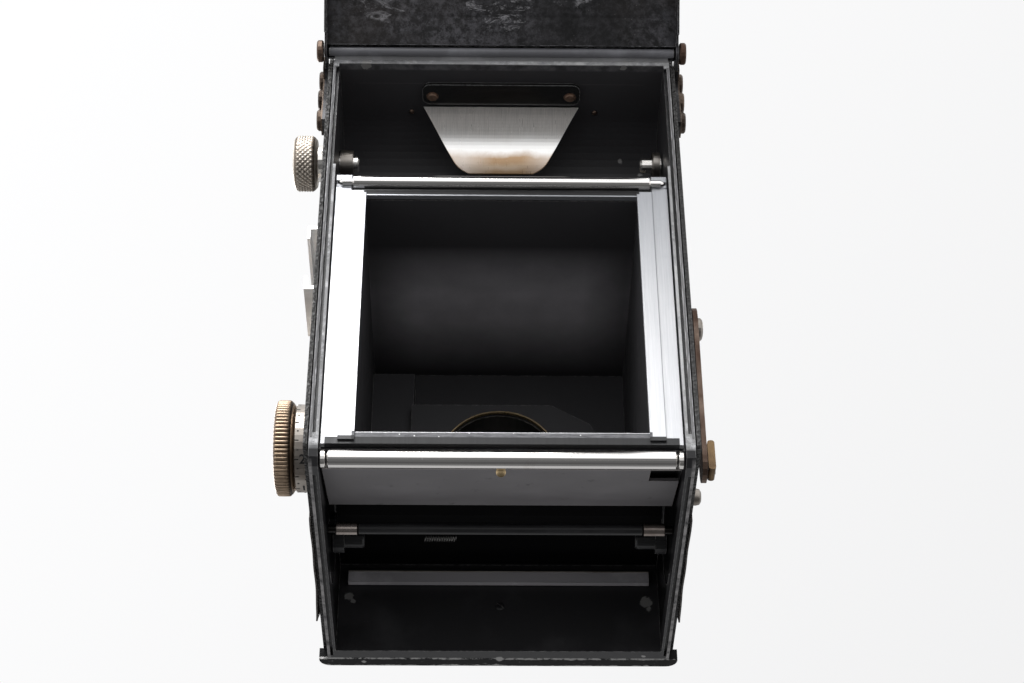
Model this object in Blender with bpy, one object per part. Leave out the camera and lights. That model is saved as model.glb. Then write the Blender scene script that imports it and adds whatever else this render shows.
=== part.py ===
"""A twin lens reflex camera for roll film, standing upright with its back door swung open.

Metres, +Z up. The lenses face -Y and the film door is hinged along the top of the back.
The origin is the middle of the flat underside of the body's lower front lip.
Depths are measured forwards from the film plane and turned into Y by y_at().
"""

import math

import bmesh
import bpy
from mathutils import Matrix, Vector

MM = 0.001

# Driving dimensions
GAP = 0.3 * MM
LIP_HALF_W = 38.3 * MM
CASTING_HALF_W = 36.4 * MM
LEATHER_T = 0.8 * MM
INNER_HALF_W = 34.6 * MM
BODY_H = 112 * MM
BODY_FRONT = 73.5 * MM
BODY_REAR = -1.5 * MM
LIP_FRONT = 75.2 * MM
LIP_REAR = 72.4 * MM
FILM_Y = (LIP_FRONT + LIP_REAR) / 2
GATE_LOW = 7.2 * MM
GATE_W = 56 * MM
GATE_H = 60.5 * MM
HINGE_DEPTH = -2.8 * MM
HINGE_Z = 107.2 * MM
DOOR_OPEN_DEG = 141.5
UPPER_ROLLER_DEPTH = -0.4 * MM
UPPER_ROLLER_Z = 70.9 * MM
TAKEUP_DEPTH = 14.5 * MM
TAKEUP_Z = 90 * MM
TAKEUP_WALL_R = 14.9 * MM
FEED_DEPTH = 43.5 * MM
FEED_Z = 11.6 * MM
TAKING_Z = 37.2 * MM
LENS_SPACING = 42 * MM
VIEWING_Z = TAKING_Z + LENS_SPACING
FOCUS_DEPTH = 44.6 * MM
FOCUS_Z = 35.2 * MM
CRANK_DEPTH = 28 * MM
CRANK_Z = 55 * MM
HOOD_HALF = 33 * MM
HOOD_MID_DEPTH = 38 * MM
HOOD_BASE_Z = 117.5 * MM
FLAP_H = 24 * MM
ROUND = 32


def y_at(depth):
    """The Y of a point this far in front of the film plane."""
    return FILM_Y - depth


# Materials

def material(name, colour, roughness, metallic=0.0):
    made = bpy.data.materials.new(name)
    made.use_nodes = True
    shader = made.node_tree.nodes["Principled BSDF"]
    shader.inputs["Base Color"].default_value = (*colour, 1)
    shader.inputs["Roughness"].default_value = roughness
    shader.inputs["Metallic"].default_value = metallic
    return made


# Shapes: each returns a bmesh in world coordinates

def block(x0, x1, y0, y1, z0, z1):
    bm = bmesh.new()
    bmesh.ops.create_cube(bm, size=1)
    size = Vector((abs(x1 - x0), abs(y1 - y0), abs(z1 - z0)))
    bmesh.ops.scale(bm, verts=bm.verts, vec=size)
    bmesh.ops.translate(bm, verts=bm.verts, vec=Vector((x0 + x1, y0 + y1, z0 + z1)) / 2)
    return bm


def prism(outline, axis, low, high):
    """An outline pushed along an axis. Its points are (y, z) for X, (x, z) for Y and (x, y) for Z."""
    place = {
        "X": lambda a, b, t: (t, a, b),
        "Y": lambda a, b, t: (a, t, b),
        "Z": lambda a, b, t: (a, b, t),
    }[axis]
    bm = bmesh.new()
    rings = [[bm.verts.new(place(a, b, t)) for a, b in outline] for t in (low, high)]
    bm.faces.new(rings[0])
    bm.faces.new(rings[1][::-1])
    count = len(outline)
    for i in range(count):
        j = (i + 1) % count
        bm.faces.new((rings[0][i], rings[1][i], rings[1][j], rings[0][j]))
    bmesh.ops.recalc_face_normals(bm, faces=bm.faces)
    return bm


def turned(profile, axis, centre, segments=ROUND, ridge=0.0):
    """A closed profile of (distance along the axis, radius) turned round the axis through centre.

    With a ridge, every second line of the outside stands out by that much, as on a knurled rim.
    """
    along = {"X": Vector((1, 0, 0)), "Y": Vector((0, 1, 0)), "Z": Vector((0, 0, 1))}[axis]
    first = {"X": Vector((0, 1, 0)), "Y": Vector((0, 0, 1)), "Z": Vector((1, 0, 0))}[axis]
    second = along.cross(first)
    widest = max(r for _, r in profile)
    bm = bmesh.new()
    rows = []
    for t, r in profile:
        row = []
        for i in range(segments if r > 0 else 1):
            turn = 2 * math.pi * i / segments
            reach = r + (ridge if i % 2 and r > 0.93 * widest else 0.0)
            out = first * math.cos(turn) * reach + second * math.sin(turn) * reach
            row.append(bm.verts.new(Vector(centre) + along * t + out))
        rows.append(row)
    for k in range(len(rows)):
        a, b = rows[k], rows[(k + 1) % len(rows)]
        for i in range(segments):
            j = (i + 1) % segments
            corners = [a[i % len(a)], a[j % len(a)], b[j % len(b)], b[i % len(b)]]
            corners = list(dict.fromkeys(corners))
            if len(corners) > 2:
                bm.faces.new(corners)
    bmesh.ops.recalc_face_normals(bm, faces=bm.faces)
    return bm


def rod(axis, centre, low, high, radius, chamfer=0.0, segments=ROUND):
    """A plain cylinder between two distances along the axis, with both ends chamfered."""
    profile = [(low, 0), (low, radius - chamfer)]
    if chamfer:
        profile += [(low + chamfer, radius), (high - chamfer, radius)]
    profile += [(high, radius - chamfer), (high, 0)]
    return turned(profile, axis, centre, segments)


def ring(axis, centre, low, high, inner, outer, segments=ROUND):
    return turned([(low, inner), (low, outer), (high, outer), (high, inner)], axis, centre, segments)


def arc(cx, cy, radius, start_deg, end_deg, steps):
    turns = [math.radians(start_deg + (end_deg - start_deg) * i / steps) for i in range(steps + 1)]
    return [(cx + radius * math.cos(t), cy + radius * math.sin(t)) for t in turns]


def rounded(x0, x1, y0, y1, radius, steps=4):
    """The outline of a rectangle with round corners."""
    return (
        arc(x1 - radius, y1 - radius, radius, 0, 90, steps)
        + arc(x0 + radius, y1 - radius, radius, 90, 180, steps)
        + arc(x0 + radius, y0 + radius, radius, 180, 270, steps)
        + arc(x1 - radius, y0 + radius, radius, 270, 360, steps)
    )


def side_view(points_mm):
    """(depth, height) points in millimetres as the (y, z) outline of a prism along X."""
    return [(y_at(d * MM), z * MM) for d, z in points_mm]


# Objects

def add(name, bm, finish, origin=(0, 0, 0)):
    """Makes a node from a bmesh in world coordinates, with its origin where it turns or slides."""
    bmesh.ops.recalc_face_normals(bm, faces=bm.faces)
    bmesh.ops.translate(bm, verts=bm.verts, vec=-Vector(origin))
    mesh = bpy.data.meshes.new(name)
    bm.to_mesh(mesh)
    bm.free()
    mesh.shade_smooth()
    mesh.set_sharp_from_angle(angle=math.radians(35))
    mesh.materials.append(finish)
    obj = bpy.data.objects.new(name, mesh)
    obj.location = origin
    bpy.context.scene.collection.objects.link(obj)
    return obj


def combine(obj, bm, operation):
    """Cuts a shape from an object, or joins one to it, with a hidden helper."""
    helper = add(f"{obj.name}_helper_{len(obj.modifiers)}", bm, obj.data.materials[0])
    helper.hide_render = True
    helper.display_type = "WIRE"
    modifier = obj.modifiers.new(operation.lower(), "BOOLEAN")
    modifier.operation = operation
    modifier.solver = "EXACT"
    modifier.object = helper


def cut(obj, *shapes):
    for bm in shapes:
        combine(obj, bm, "DIFFERENCE")


def join(obj, *shapes):
    for bm in shapes:
        combine(obj, bm, "UNION")


def body(black, leather, nickel):
    """The die-cast body: side walls, front, top deck and the walls round each hollow."""
    rear_corner = [(-1.5, 3), (-0.7, 1), (1.2, 0)]
    top_rear = [(2, 112), (0.2, 110.4), (0.2, 106.8), (-1.5, 105.9)]
    outer = side_view(top_rear + rear_corner + [(73.5, 0), (73.5, 112)])
    casting = add("body_casting", prism(outer, "X", -CASTING_HALF_W, CASTING_HALF_W), black)
    corner = 2.4 * MM
    lip_outline = [(LIP_HALF_W, y_at(LIP_REAR)), (-LIP_HALF_W, y_at(LIP_REAR))]
    lip_outline += arc(corner - LIP_HALF_W, y_at(LIP_FRONT) + corner, corner, 180, 270, 5)
    lip_outline += arc(LIP_HALF_W - corner, y_at(LIP_FRONT) + corner, corner, 270, 360, 5)
    join(casting, prism(lip_outline, "Z", 0, 2.6 * MM))

    gate_seat = block(-INNER_HALF_W, INNER_HALF_W, y_at(-3 * MM), y_at(1.5 * MM), 4 * MM, 70 * MM)
    roller_seat = block(-INNER_HALF_W, INNER_HALF_W, y_at(-3 * MM), y_at(2.3 * MM), 69.2 * MM, 80 * MM)
    spool_wall = [(d / MM, z / MM) for d, z in arc(TAKEUP_DEPTH, TAKEUP_Z, TAKEUP_WALL_R, -90, 90, 30)]
    takeup = side_view([(-3, 75.1)] + spool_wall + [(-3, 104.9)])
    tunnel = side_view([
        (-3, 7), (2, 7), (20, 10.8), (27.5, 17.2), (32.5, 24.2), (38, 26.2),
        (47.5, 26.2), (49.6, 23.7), (61, 23.7), (61, 67.7), (-3, 67.7),
    ])
    feed = side_view([
        (-3, 4.2), (2.5, 4.2), (4.5, 3.4), (25.5, 9.5), (31, 14.2), (34.5, 20.2), (40, 23.8), (46, 23.8),
        (50.2, 22), (54, 21.6), (69, 21.6), (69, -2), (-3, -2),
    ])
    mirror_box = side_view([(32, 71), (70.5, 71), (70.5, 114), (32, 114)])
    glass_seat = side_view([(30.5, 109.8), (72, 109.8), (72, 114), (30.5, 114)])
    cut(
        casting,
        gate_seat,
        roller_seat,
        prism(takeup, "X", -35.2 * MM, 35.2 * MM),
        prism(tunnel, "X", -28.3 * MM, 28.3 * MM),
        prism(feed, "X", -INNER_HALF_W, INNER_HALF_W),
        prism(mirror_box, "X", -28.5 * MM, 28.5 * MM),
        prism(glass_seat, "X", -30.4 * MM, 30.4 * MM),
        rod("Y", (0, y_at(76 * MM), VIEWING_Z), 0, 7 * MM, 12.6 * MM),
        rod("X", (0, y_at(TAKEUP_DEPTH), TAKEUP_Z), 34 * MM, 38 * MM, 2.9 * MM, segments=16),
    )
    lens_seat = [(19.4, 25), (19.4, 53.3), (-11.5, 53.3), (-20, 48.2), (-23, 41), (-23, 25)]
    lens_seat = [(x * MM, z * MM) for x, z in lens_seat]
    join(
        casting,
        prism(lens_seat, "Y", y_at(61.5 * MM), y_at(53 * MM)),
        block(19 * MM, 28.8 * MM, y_at(61.4 * MM), y_at(55 * MM), 23 * MM, 63.4 * MM),
        rod("X", (0, y_at(34.6 * MM), 9.8 * MM), 33 * MM, 35 * MM, 2 * MM, 0.3 * MM, 20),
    )
    cut(casting, rod("Y", (0, y_at(76 * MM), TAKING_Z), 0, 26 * MM, 13.4 * MM))
    for side in (-1, 1):
        inner, outer_x = side * 35.15 * MM, side * 35.8 * MM
        rear_groove = block(inner, outer_x, y_at(-2 * MM), y_at(-0.3 * MM), 6 * MM, 104 * MM)
        base_groove = block(inner, outer_x, y_at(4 * MM), y_at(71 * MM), -1 * MM, 1.1 * MM)
        cut(casting, rear_groove, base_groove)

    skin_in = CASTING_HALF_W + GAP
    skin_out = skin_in + LEATHER_T
    for side, word in ((1, "left"), (-1, "right")):
        outline = side_view([
            (-1.2, 3.6), (-1.2, 105), (0.8, 107), (0.8, 109.2), (1.6, 110), (72.6, 110), (73.2, 109.4),
            (73.2, 2.9), (-0.6, 2.9),
        ])
        skin = add(f"{word}_side_leather", prism(outline, "X", side * skin_in, side * skin_out), leather)
        if side > 0:
            cut(skin, rod("X", (0, y_at(TAKEUP_DEPTH), TAKEUP_Z), 36 * MM, 38 * MM, 2.9 * MM, segments=16))

        plate_in, plate_out = side * (skin_out + GAP), side * 38.8 * MM
        outline = side_view([
            (2.6, 92), (3.4, 91.2), (6.8, 91.2), (7.6, 92), (7.6, 108.4), (6.8, 109.2), (1, 109.2),
            (-0.1, 108.2), (-0.1, 104.6), (2.6, 104.2),
        ])
        plate = add(f"{word}_hinge_plate", prism(outline, "X", plate_in, plate_out), nickel)
        for height in (94, 100, 105.7):
            low, high = sorted((side * 38.2 * MM, side * 39.8 * MM))
            join(plate, rod("X", (0, y_at(5.1 * MM), height * MM), low, high, 2.3 * MM, 0.3 * MM, 16))

    bracket = [(37.8, 52), (40.8, 52), (40.8, 55.4), (40.2, 55.4), (40.2, 52.8), (38.7, 52.8)]
    bracket = [(x * MM, z * MM) for x, z in bracket + [(x, 121.2 - z) for x, z in bracket[::-1]]]
    add("left_side_bracket", prism(bracket, "Y", y_at(27.2 * MM), y_at(11.5 * MM)), nickel)
    add("door_hinge_barrel", rod("X", (0, y_at(HINGE_DEPTH), HINGE_Z), -37.4 * MM, 37.4 * MM, 1 * MM), black)


def film_gate(aluminium, grey):
    """The frame that holds the film flat: two raised film rails inside two wider side rails."""
    outer_x, arm_x = 34.3 * MM, 31.1 * MM
    low, bar, top = 4.5 * MM, 69 * MM, 73.3 * MM
    outline = [(-outer_x, low), (outer_x, low), (outer_x, top), (arm_x, top), (arm_x, bar)]
    outline += [(-arm_x, bar), (-arm_x, top), (-outer_x, top)]
    gate = add("film_gate", prism(outline, "Y", y_at(0), y_at(1.2 * MM)), aluminium)
    half = GATE_W / 2
    for side in (-1, 1):
        join(gate, block(side * half, side * arm_x, y_at(-0.5 * MM), y_at(0.5 * MM), 5.2 * MM, 68.6 * MM))
    window = block(-half - 0.02 * MM, half + 0.02 * MM, y_at(-2 * MM), y_at(3 * MM), GATE_LOW, GATE_LOW + GATE_H)
    notches = [
        rod("X", (0, y_at(UPPER_ROLLER_DEPTH), UPPER_ROLLER_Z), low_x, low_x + 5 * MM, 1.05 * MM, segments=16)
        for low_x in (-35 * MM, 30 * MM)
    ]
    cut(gate, window, *notches)

    sheet = side_view([(4.7, 2.0), (25.8, 8.1), (25.6, 8.8), (4.5, 2.7)])
    panel = add("lower_film_panel", prism(sheet, "X", -34.1 * MM, 34.1 * MM), grey)
    recess = block(-34.6 * MM, -28.3 * MM, y_at(5 * MM), y_at(11 * MM), 1 * MM, 6 * MM)
    cut(panel, recess)


def rollers(nickel, black):
    upper = [(-34.1, 0), (-33.6, 0.5), (-33, 0.8), (-30.9, 0.8), (-30.6, 1.45)]
    upper_profile = [(t * MM, r * MM) for t, r in upper + [(-t, r) for t, r in upper[::-1]]]
    centre = (0, y_at(UPPER_ROLLER_DEPTH), UPPER_ROLLER_Z)
    add("upper_film_roller", turned(upper_profile, "X", centre, 24), nickel, centre)

    centre = (0, y_at(1.4 * MM), 1.95 * MM)
    add("lower_film_roller", rod("X", centre, -32.9 * MM, 32.9 * MM, 1.8 * MM, 0.2 * MM, 28), nickel, centre)
    for side, word in ((1, "left"), (-1, "right")):
        low, high = sorted((side * 33.3 * MM, side * 34.3 * MM))
        add(f"lower_roller_{word}_bearing", rod("X", centre, low, high, 1.7 * MM, 0.15 * MM, 20), nickel)

    centre = (0, y_at(29.6 * MM), 4.9 * MM)
    add("feed_guide_rod", rod("X", centre, -28.3 * MM, 28.3 * MM, 1.1 * MM, 0.1 * MM, 20), black, centre)
    for side, word in ((1, "left"), (-1, "right")):
        cap = [(28.6, 0), (28.6, 1.25), (32.8, 1.25), (32.8, 0.8), (34.3, 0.8), (34.3, 0)]
        profile = [(side * t * MM, r * MM) for t, r in cap]
        add(f"feed_guide_{word}_cap", turned(profile, "X", centre, 20), nickel, centre)


def spool_fittings(nickel, knurled, black):
    """The pins that carry both spools, the pull-out knob, and the springs that press on the film."""
    axis = (0, y_at(TAKEUP_DEPTH), TAKEUP_Z)
    pin = [(30.9, 0), (30.9, 1.5), (31.2, 1.8), (34.3, 1.8), (34.3, 2.5), (38, 2.5), (38, 4), (39.7, 4), (39.7, 0)]
    add("takeup_left_pin", turned([(t * MM, r * MM) for t, r in pin], "X", axis, 24), nickel, axis)
    knob = [(40, 0), (40, 5.9), (40.4, 6.2), (44.7, 6.2), (45.1, 5.8), (45.1, 3.4), (44.8, 3.2), (44.8, 0)]
    bm = turned([(t * MM, r * MM) for t, r in knob], "X", axis, 48, ridge=0.18 * MM)
    add("takeup_knob", bm, knurled, axis)
    drive = [(-30.4, 0), (-30.4, 1.4), (-30.8, 1.8), (-33.2, 1.8), (-33.2, 2.5), (-34.9, 2.5), (-34.9, 0)]
    drive_pin = add("takeup_drive_pin", turned([(t * MM, r * MM) for t, r in drive], "X", axis, 20), nickel, axis)
    slot = block(-30 * MM, -31.6 * MM, axis[1] - 0.35 * MM, axis[1] + 0.35 * MM, 85 * MM, 95 * MM)
    cut(drive_pin, slot)

    axis = (0, y_at(FEED_DEPTH), FEED_Z)
    for side, word in ((1, "left"), (-1, "right")):
        pin = [(27.9, 0), (27.9, 1.6), (28.3, 1.9), (32, 1.9), (32, 2.9), (34.3, 2.9), (34.3, 0)]
        profile = [(side * t * MM, r * MM) for t, r in pin]
        add(f"feed_{word}_pin", turned(profile, "X", axis, 20), nickel, axis)

    plate = rounded(-17.3 * MM, 17.3 * MM, y_at(9.8 * MM), y_at(3.8 * MM), 1.8 * MM, 5)
    spring_plate = add("takeup_spring_plate", prism(plate, "Z", 103.8 * MM, 104.6 * MM), black)
    for side in (-1, 1):
        rivet_at = (side * 15.1 * MM, y_at(7.4 * MM), 0)
        join(spring_plate, rod("Z", rivet_at, 103.3 * MM, 104.1 * MM, 1.1 * MM, 0.2 * MM, 16))
    add("takeup_leaf_spring", leaf_spring(), nickel)

    strip = side_view([(67.4, 16.2), (67.4, 18.9), (68.7, 18.9), (68.7, 16.2)])
    add("feed_pressure_strip", prism(strip, "X", -32.6 * MM, 32.6 * MM), nickel)


def leaf_spring():
    """A tapering leaf that slopes down and forwards from the chamber's roof and steepens towards its tip."""
    thickness = 0.35 * MM
    length, steps = 15.9 * MM, 20
    root_half, tip_half = 17.1 * MM, 8.7 * MM
    bend_at, slopes = 0.62, (25, 70, 85)
    round_from, tip_round = 0.78, 1.6 * MM
    place = Vector((0, y_at(10.2 * MM), 103.5 * MM))
    bm = bmesh.new()
    rows = []
    for i in range(steps + 1):
        share = i / steps
        if share < bend_at:
            slope = slopes[0] + (slopes[1] - slopes[0]) * share / bend_at
        else:
            slope = slopes[1] + (slopes[2] - slopes[1]) * (share - bend_at) / (1 - bend_at)
        turn = math.radians(slope)
        rounding = tip_round * max(0, (share - round_from) / (1 - round_from)) ** 3
        half = root_half + (tip_half - root_half) * share - rounding
        back = Vector((0, math.sin(turn), -math.cos(turn))) * thickness
        rows.append([
            bm.verts.new(place + offset + Vector((x, 0, 0)))
            for x, offset in ((-half, Vector()), (half, Vector()), (half, back), (-half, back))
        ])
        place = place + Vector((0, -math.cos(turn), -math.sin(turn))) * length / steps
    for a, b in zip(rows, rows[1:]):
        for i in range(4):
            j = (i + 1) % 4
            bm.faces.new((a[i], a[j], b[j], b[i]))
    bm.faces.new(rows[0])
    bm.faces.new(rows[-1][::-1])
    return bm


def side_controls(bronze, nickel, brass):
    """The focusing knob on the left side and the winding crank on the right."""
    axis = (0, y_at(FOCUS_DEPTH), FOCUS_Z)
    rim = [(43.5, 0), (43.5, 9.6), (44.3, 10.3), (47.1, 10.3), (47.5, 9.9), (47.5, 6.4), (47.1, 6), (47.1, 0)]
    bm = turned([(t * MM, r * MM) for t, r in rim], "X", axis, 120, ridge=0.3 * MM)
    add("focus_knob", bm, bronze, axis)
    drum = rod("X", axis, 37.8 * MM, 43.2 * MM, 9.4 * MM, 0.2 * MM, 40)
    add("focus_scale_drum", drum, nickel, axis)

    axis = (0, y_at(CRANK_DEPTH), CRANK_Z)
    hub = [(-37.8, 0), (-37.8, 3.6), (-40.2, 3.6), (-40.5, 2.6), (-42.6, 2.5), (-43, 2.1), (-43, 0)]
    add("crank_hub", turned([(t * MM, r * MM) for t, r in hub], "X", axis, 24), nickel, axis)
    tip_z = 19.5 * MM
    outline = arc(axis[1], axis[2], 4.6 * MM, 0, 180, 8) + arc(axis[1], tip_z, 3.6 * MM, 180, 360, 8)
    arm = add("crank_arm", prism(outline, "X", -41.8 * MM, -40.8 * MM), nickel, axis)
    cut(arm, rod("X", axis, -44 * MM, -39 * MM, 2.9 * MM, segments=24))
    pivot = (-42.85 * MM, axis[1], 18 * MM)
    outline = rounded(-43.6 * MM, -42.1 * MM, 17.2 * MM, 24.4 * MM, 0.6 * MM, 3)
    add("crank_handle", prism(outline, "Y", axis[1] - 2.1 * MM, axis[1] + 2.1 * MM), brass, pivot)


def viewfinder(silver, glass, black):
    mirror = side_view([(34, 107.6), (34.8, 108.4), (70, 74.2), (69.2, 73.4)])
    add("viewing_mirror", prism(mirror, "X", -27.8 * MM, 27.8 * MM), silver)
    screen = side_view([(30.8, 110.1), (71.7, 110.1), (71.7, 111.7), (30.8, 111.7)])
    add("ground_glass", prism(screen, "X", -30.1 * MM, 30.1 * MM), glass)

    rim = block(-35 * MM, 35 * MM, y_at(4 * MM), y_at(73.4 * MM), 112.3 * MM, HOOD_BASE_Z)
    frame = add("hood_frame", rim, black)
    cut(frame, block(-30 * MM, 30 * MM, y_at(9 * MM), y_at(68.5 * MM), 110 * MM, 120 * MM))
    for side in (-1, 1):
        rail = block(side * 33.4 * MM, side * 35 * MM, y_at(5 * MM), y_at(70 * MM), 117 * MM, 118.7 * MM)
        join(frame, rail)
    join(frame, block(-35 * MM, 35 * MM, y_at(69.9 * MM), y_at(73.4 * MM), 117 * MM, 120.6 * MM))


def hood(black, nickel, glass):
    """The folding hood, lying shut: a lid hinged at the front over three flaps with mitred ends."""
    lid_pivot = (0, y_at(71.8 * MM), 122 * MM)
    lid = add("hood_lid", block(-35 * MM, 35 * MM, y_at(4 * MM), y_at(72.6 * MM), 121.5 * MM, 122.5 * MM), black,
              lid_pivot)
    for side in (-1, 1):
        join(lid, block(side * 34.2 * MM, side * 35 * MM, y_at(4 * MM), y_at(69.4 * MM), 119.1 * MM, 121.8 * MM))
        join(lid, block(side * 14.6 * MM, side * 16 * MM, y_at(45 * MM), y_at(47.4 * MM), 120 * MM, 121.8 * MM))
    join(lid, block(-34.5 * MM, 34.5 * MM, y_at(4 * MM), y_at(4.8 * MM), 117.9 * MM, 121.8 * MM))

    front, rear, mitre = 70 * MM, 6.2 * MM, 1.4 * MM
    for side, word in ((1, "left"), (-1, "right")):
        x0, x1 = side * 32.9 * MM, side * (33 * MM - FLAP_H)
        outline = [
            (x0, y_at(rear + mitre)), (x1, y_at(rear + mitre + FLAP_H)),
            (x1, y_at(front - mitre - FLAP_H)), (x0, y_at(front - mitre)),
        ]
        pivot = (side * HOOD_HALF, y_at(HOOD_MID_DEPTH), 119.2 * MM)
        add(f"hood_{word}_flap", prism(outline, "Z", 118.9 * MM, 119.5 * MM), black, pivot)
    half = 31.6 * MM
    outline = [
        (-half, y_at(rear)), (half, y_at(rear)),
        (half - FLAP_H, y_at(rear + FLAP_H)), (FLAP_H - half, y_at(rear + FLAP_H)),
    ]
    pivot = (0, y_at(rear - 0.3 * MM), 118.2 * MM)
    add("hood_rear_flap", prism(outline, "Z", 117.9 * MM, 118.5 * MM), black, pivot)

    pivot = (0, y_at(46 * MM), 120.5 * MM)
    centre = (0, y_at(31 * MM), 120.5 * MM)
    thin = 0.55 * MM
    magnifier = add("magnifier_frame", ring("Z", centre, -thin, thin, 11 * MM, 13.6 * MM, 40), nickel, pivot)
    join(magnifier, block(-14.2 * MM, 14.2 * MM, y_at(43 * MM), y_at(46.4 * MM), 120 * MM, 121 * MM))
    add("magnifier_lens", rod("Z", centre, -0.5 * MM, 0.5 * MM, 10.7 * MM, 0.3 * MM, 40), glass, pivot)


def lens_board(black, nickel, glass, brass):
    """The plate that the focusing knob moves, with the viewing lens above the taking lens."""
    front = y_at(77.4 * MM)
    outline = rounded(-33 * MM, 33 * MM, 7 * MM, 107 * MM, 5 * MM)
    plate = add("lens_board", prism(outline, "Y", y_at(74.2 * MM), front), black)
    taking, viewing = (0, 0, TAKING_Z), (0, 0, VIEWING_Z)
    cut(plate, rod("Y", taking, y_at(79 * MM), y_at(72 * MM), 11 * MM))
    cut(plate, rod("Y", viewing, y_at(79 * MM), y_at(72 * MM), 11.5 * MM))

    def barrel(centre, points):
        return turned([(y_at(d * MM), r * MM) for d, r in points], "Y", centre, 40)

    add("viewing_lens_barrel", barrel(viewing, [
        (77.7, 12.4), (77.7, 17.6), (80, 17.6), (80.6, 15.8), (89, 15.8), (90, 15), (90, 13.4), (86, 12.4),
    ]), nickel)
    add("viewing_lens", barrel(viewing, [(81.5, 0), (81.5, 12), (84, 12), (85.6, 8.6), (86.4, 4), (86.6, 0)]), glass)
    add("shutter_housing", barrel(taking, [
        (77.7, 12.9), (77.7, 22.6), (82.8, 22.6), (83.6, 21.8), (83.6, 12.9),
    ]), black)
    add("shutter_blades", barrel(taking, [(80, 0), (80, 12.5), (80.6, 12.5), (80.6, 0)]), nickel)
    add("taking_lens_barrel", barrel(taking, [
        (83.9, 10.9), (83.9, 14.6), (90, 14.6), (91, 13.8), (91, 12.4), (88, 10.9),
    ]), nickel)
    add("taking_lens", barrel(taking, [(84.6, 0), (84.6, 10.5), (86, 10.5), (87.4, 7.6), (88.1, 3.6), (88.3, 0)]), glass)
    add("rear_lens_ring", barrel(taking, [(50.5, 12.3), (50.5, 12.6), (51.2, 12.6), (51.2, 12.3)]), brass)
    add("rear_lens_tube", barrel(taking, [(51.5, 11.9), (51.5, 12.8), (73.9, 12.8), (73.9, 11.9)]), black)

    for name, low, turn in (("aperture_lever", 84.4, 25), ("speed_lever", 85.8, 155)):
        bm = ring("Y", taking, y_at((low + 0.9) * MM), y_at(low * MM), 15 * MM, 16.8 * MM, 40)
        lever = add(name, bm, nickel, taking)
        tab = block(15.8 * MM, 21.5 * MM, y_at((low + 0.9) * MM), y_at(low * MM), -1.2 * MM, 1.2 * MM)
        bmesh.ops.rotate(tab, verts=tab.verts, matrix=Matrix.Rotation(math.radians(-turn), 3, "Y"))
        bmesh.ops.translate(tab, verts=tab.verts, vec=taking)
        join(lever, tab)

    pivot = (26.4 * MM, front, 37 * MM)
    outline = arc(26.4 * MM, 37 * MM, 2 * MM, 0, 180, 6) + arc(26.4 * MM, 24 * MM, 1.5 * MM, 180, 360, 6)
    add("release_lever", prism(outline, "Y", front - 1.9 * MM, front - 0.3 * MM), nickel, pivot)


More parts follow.
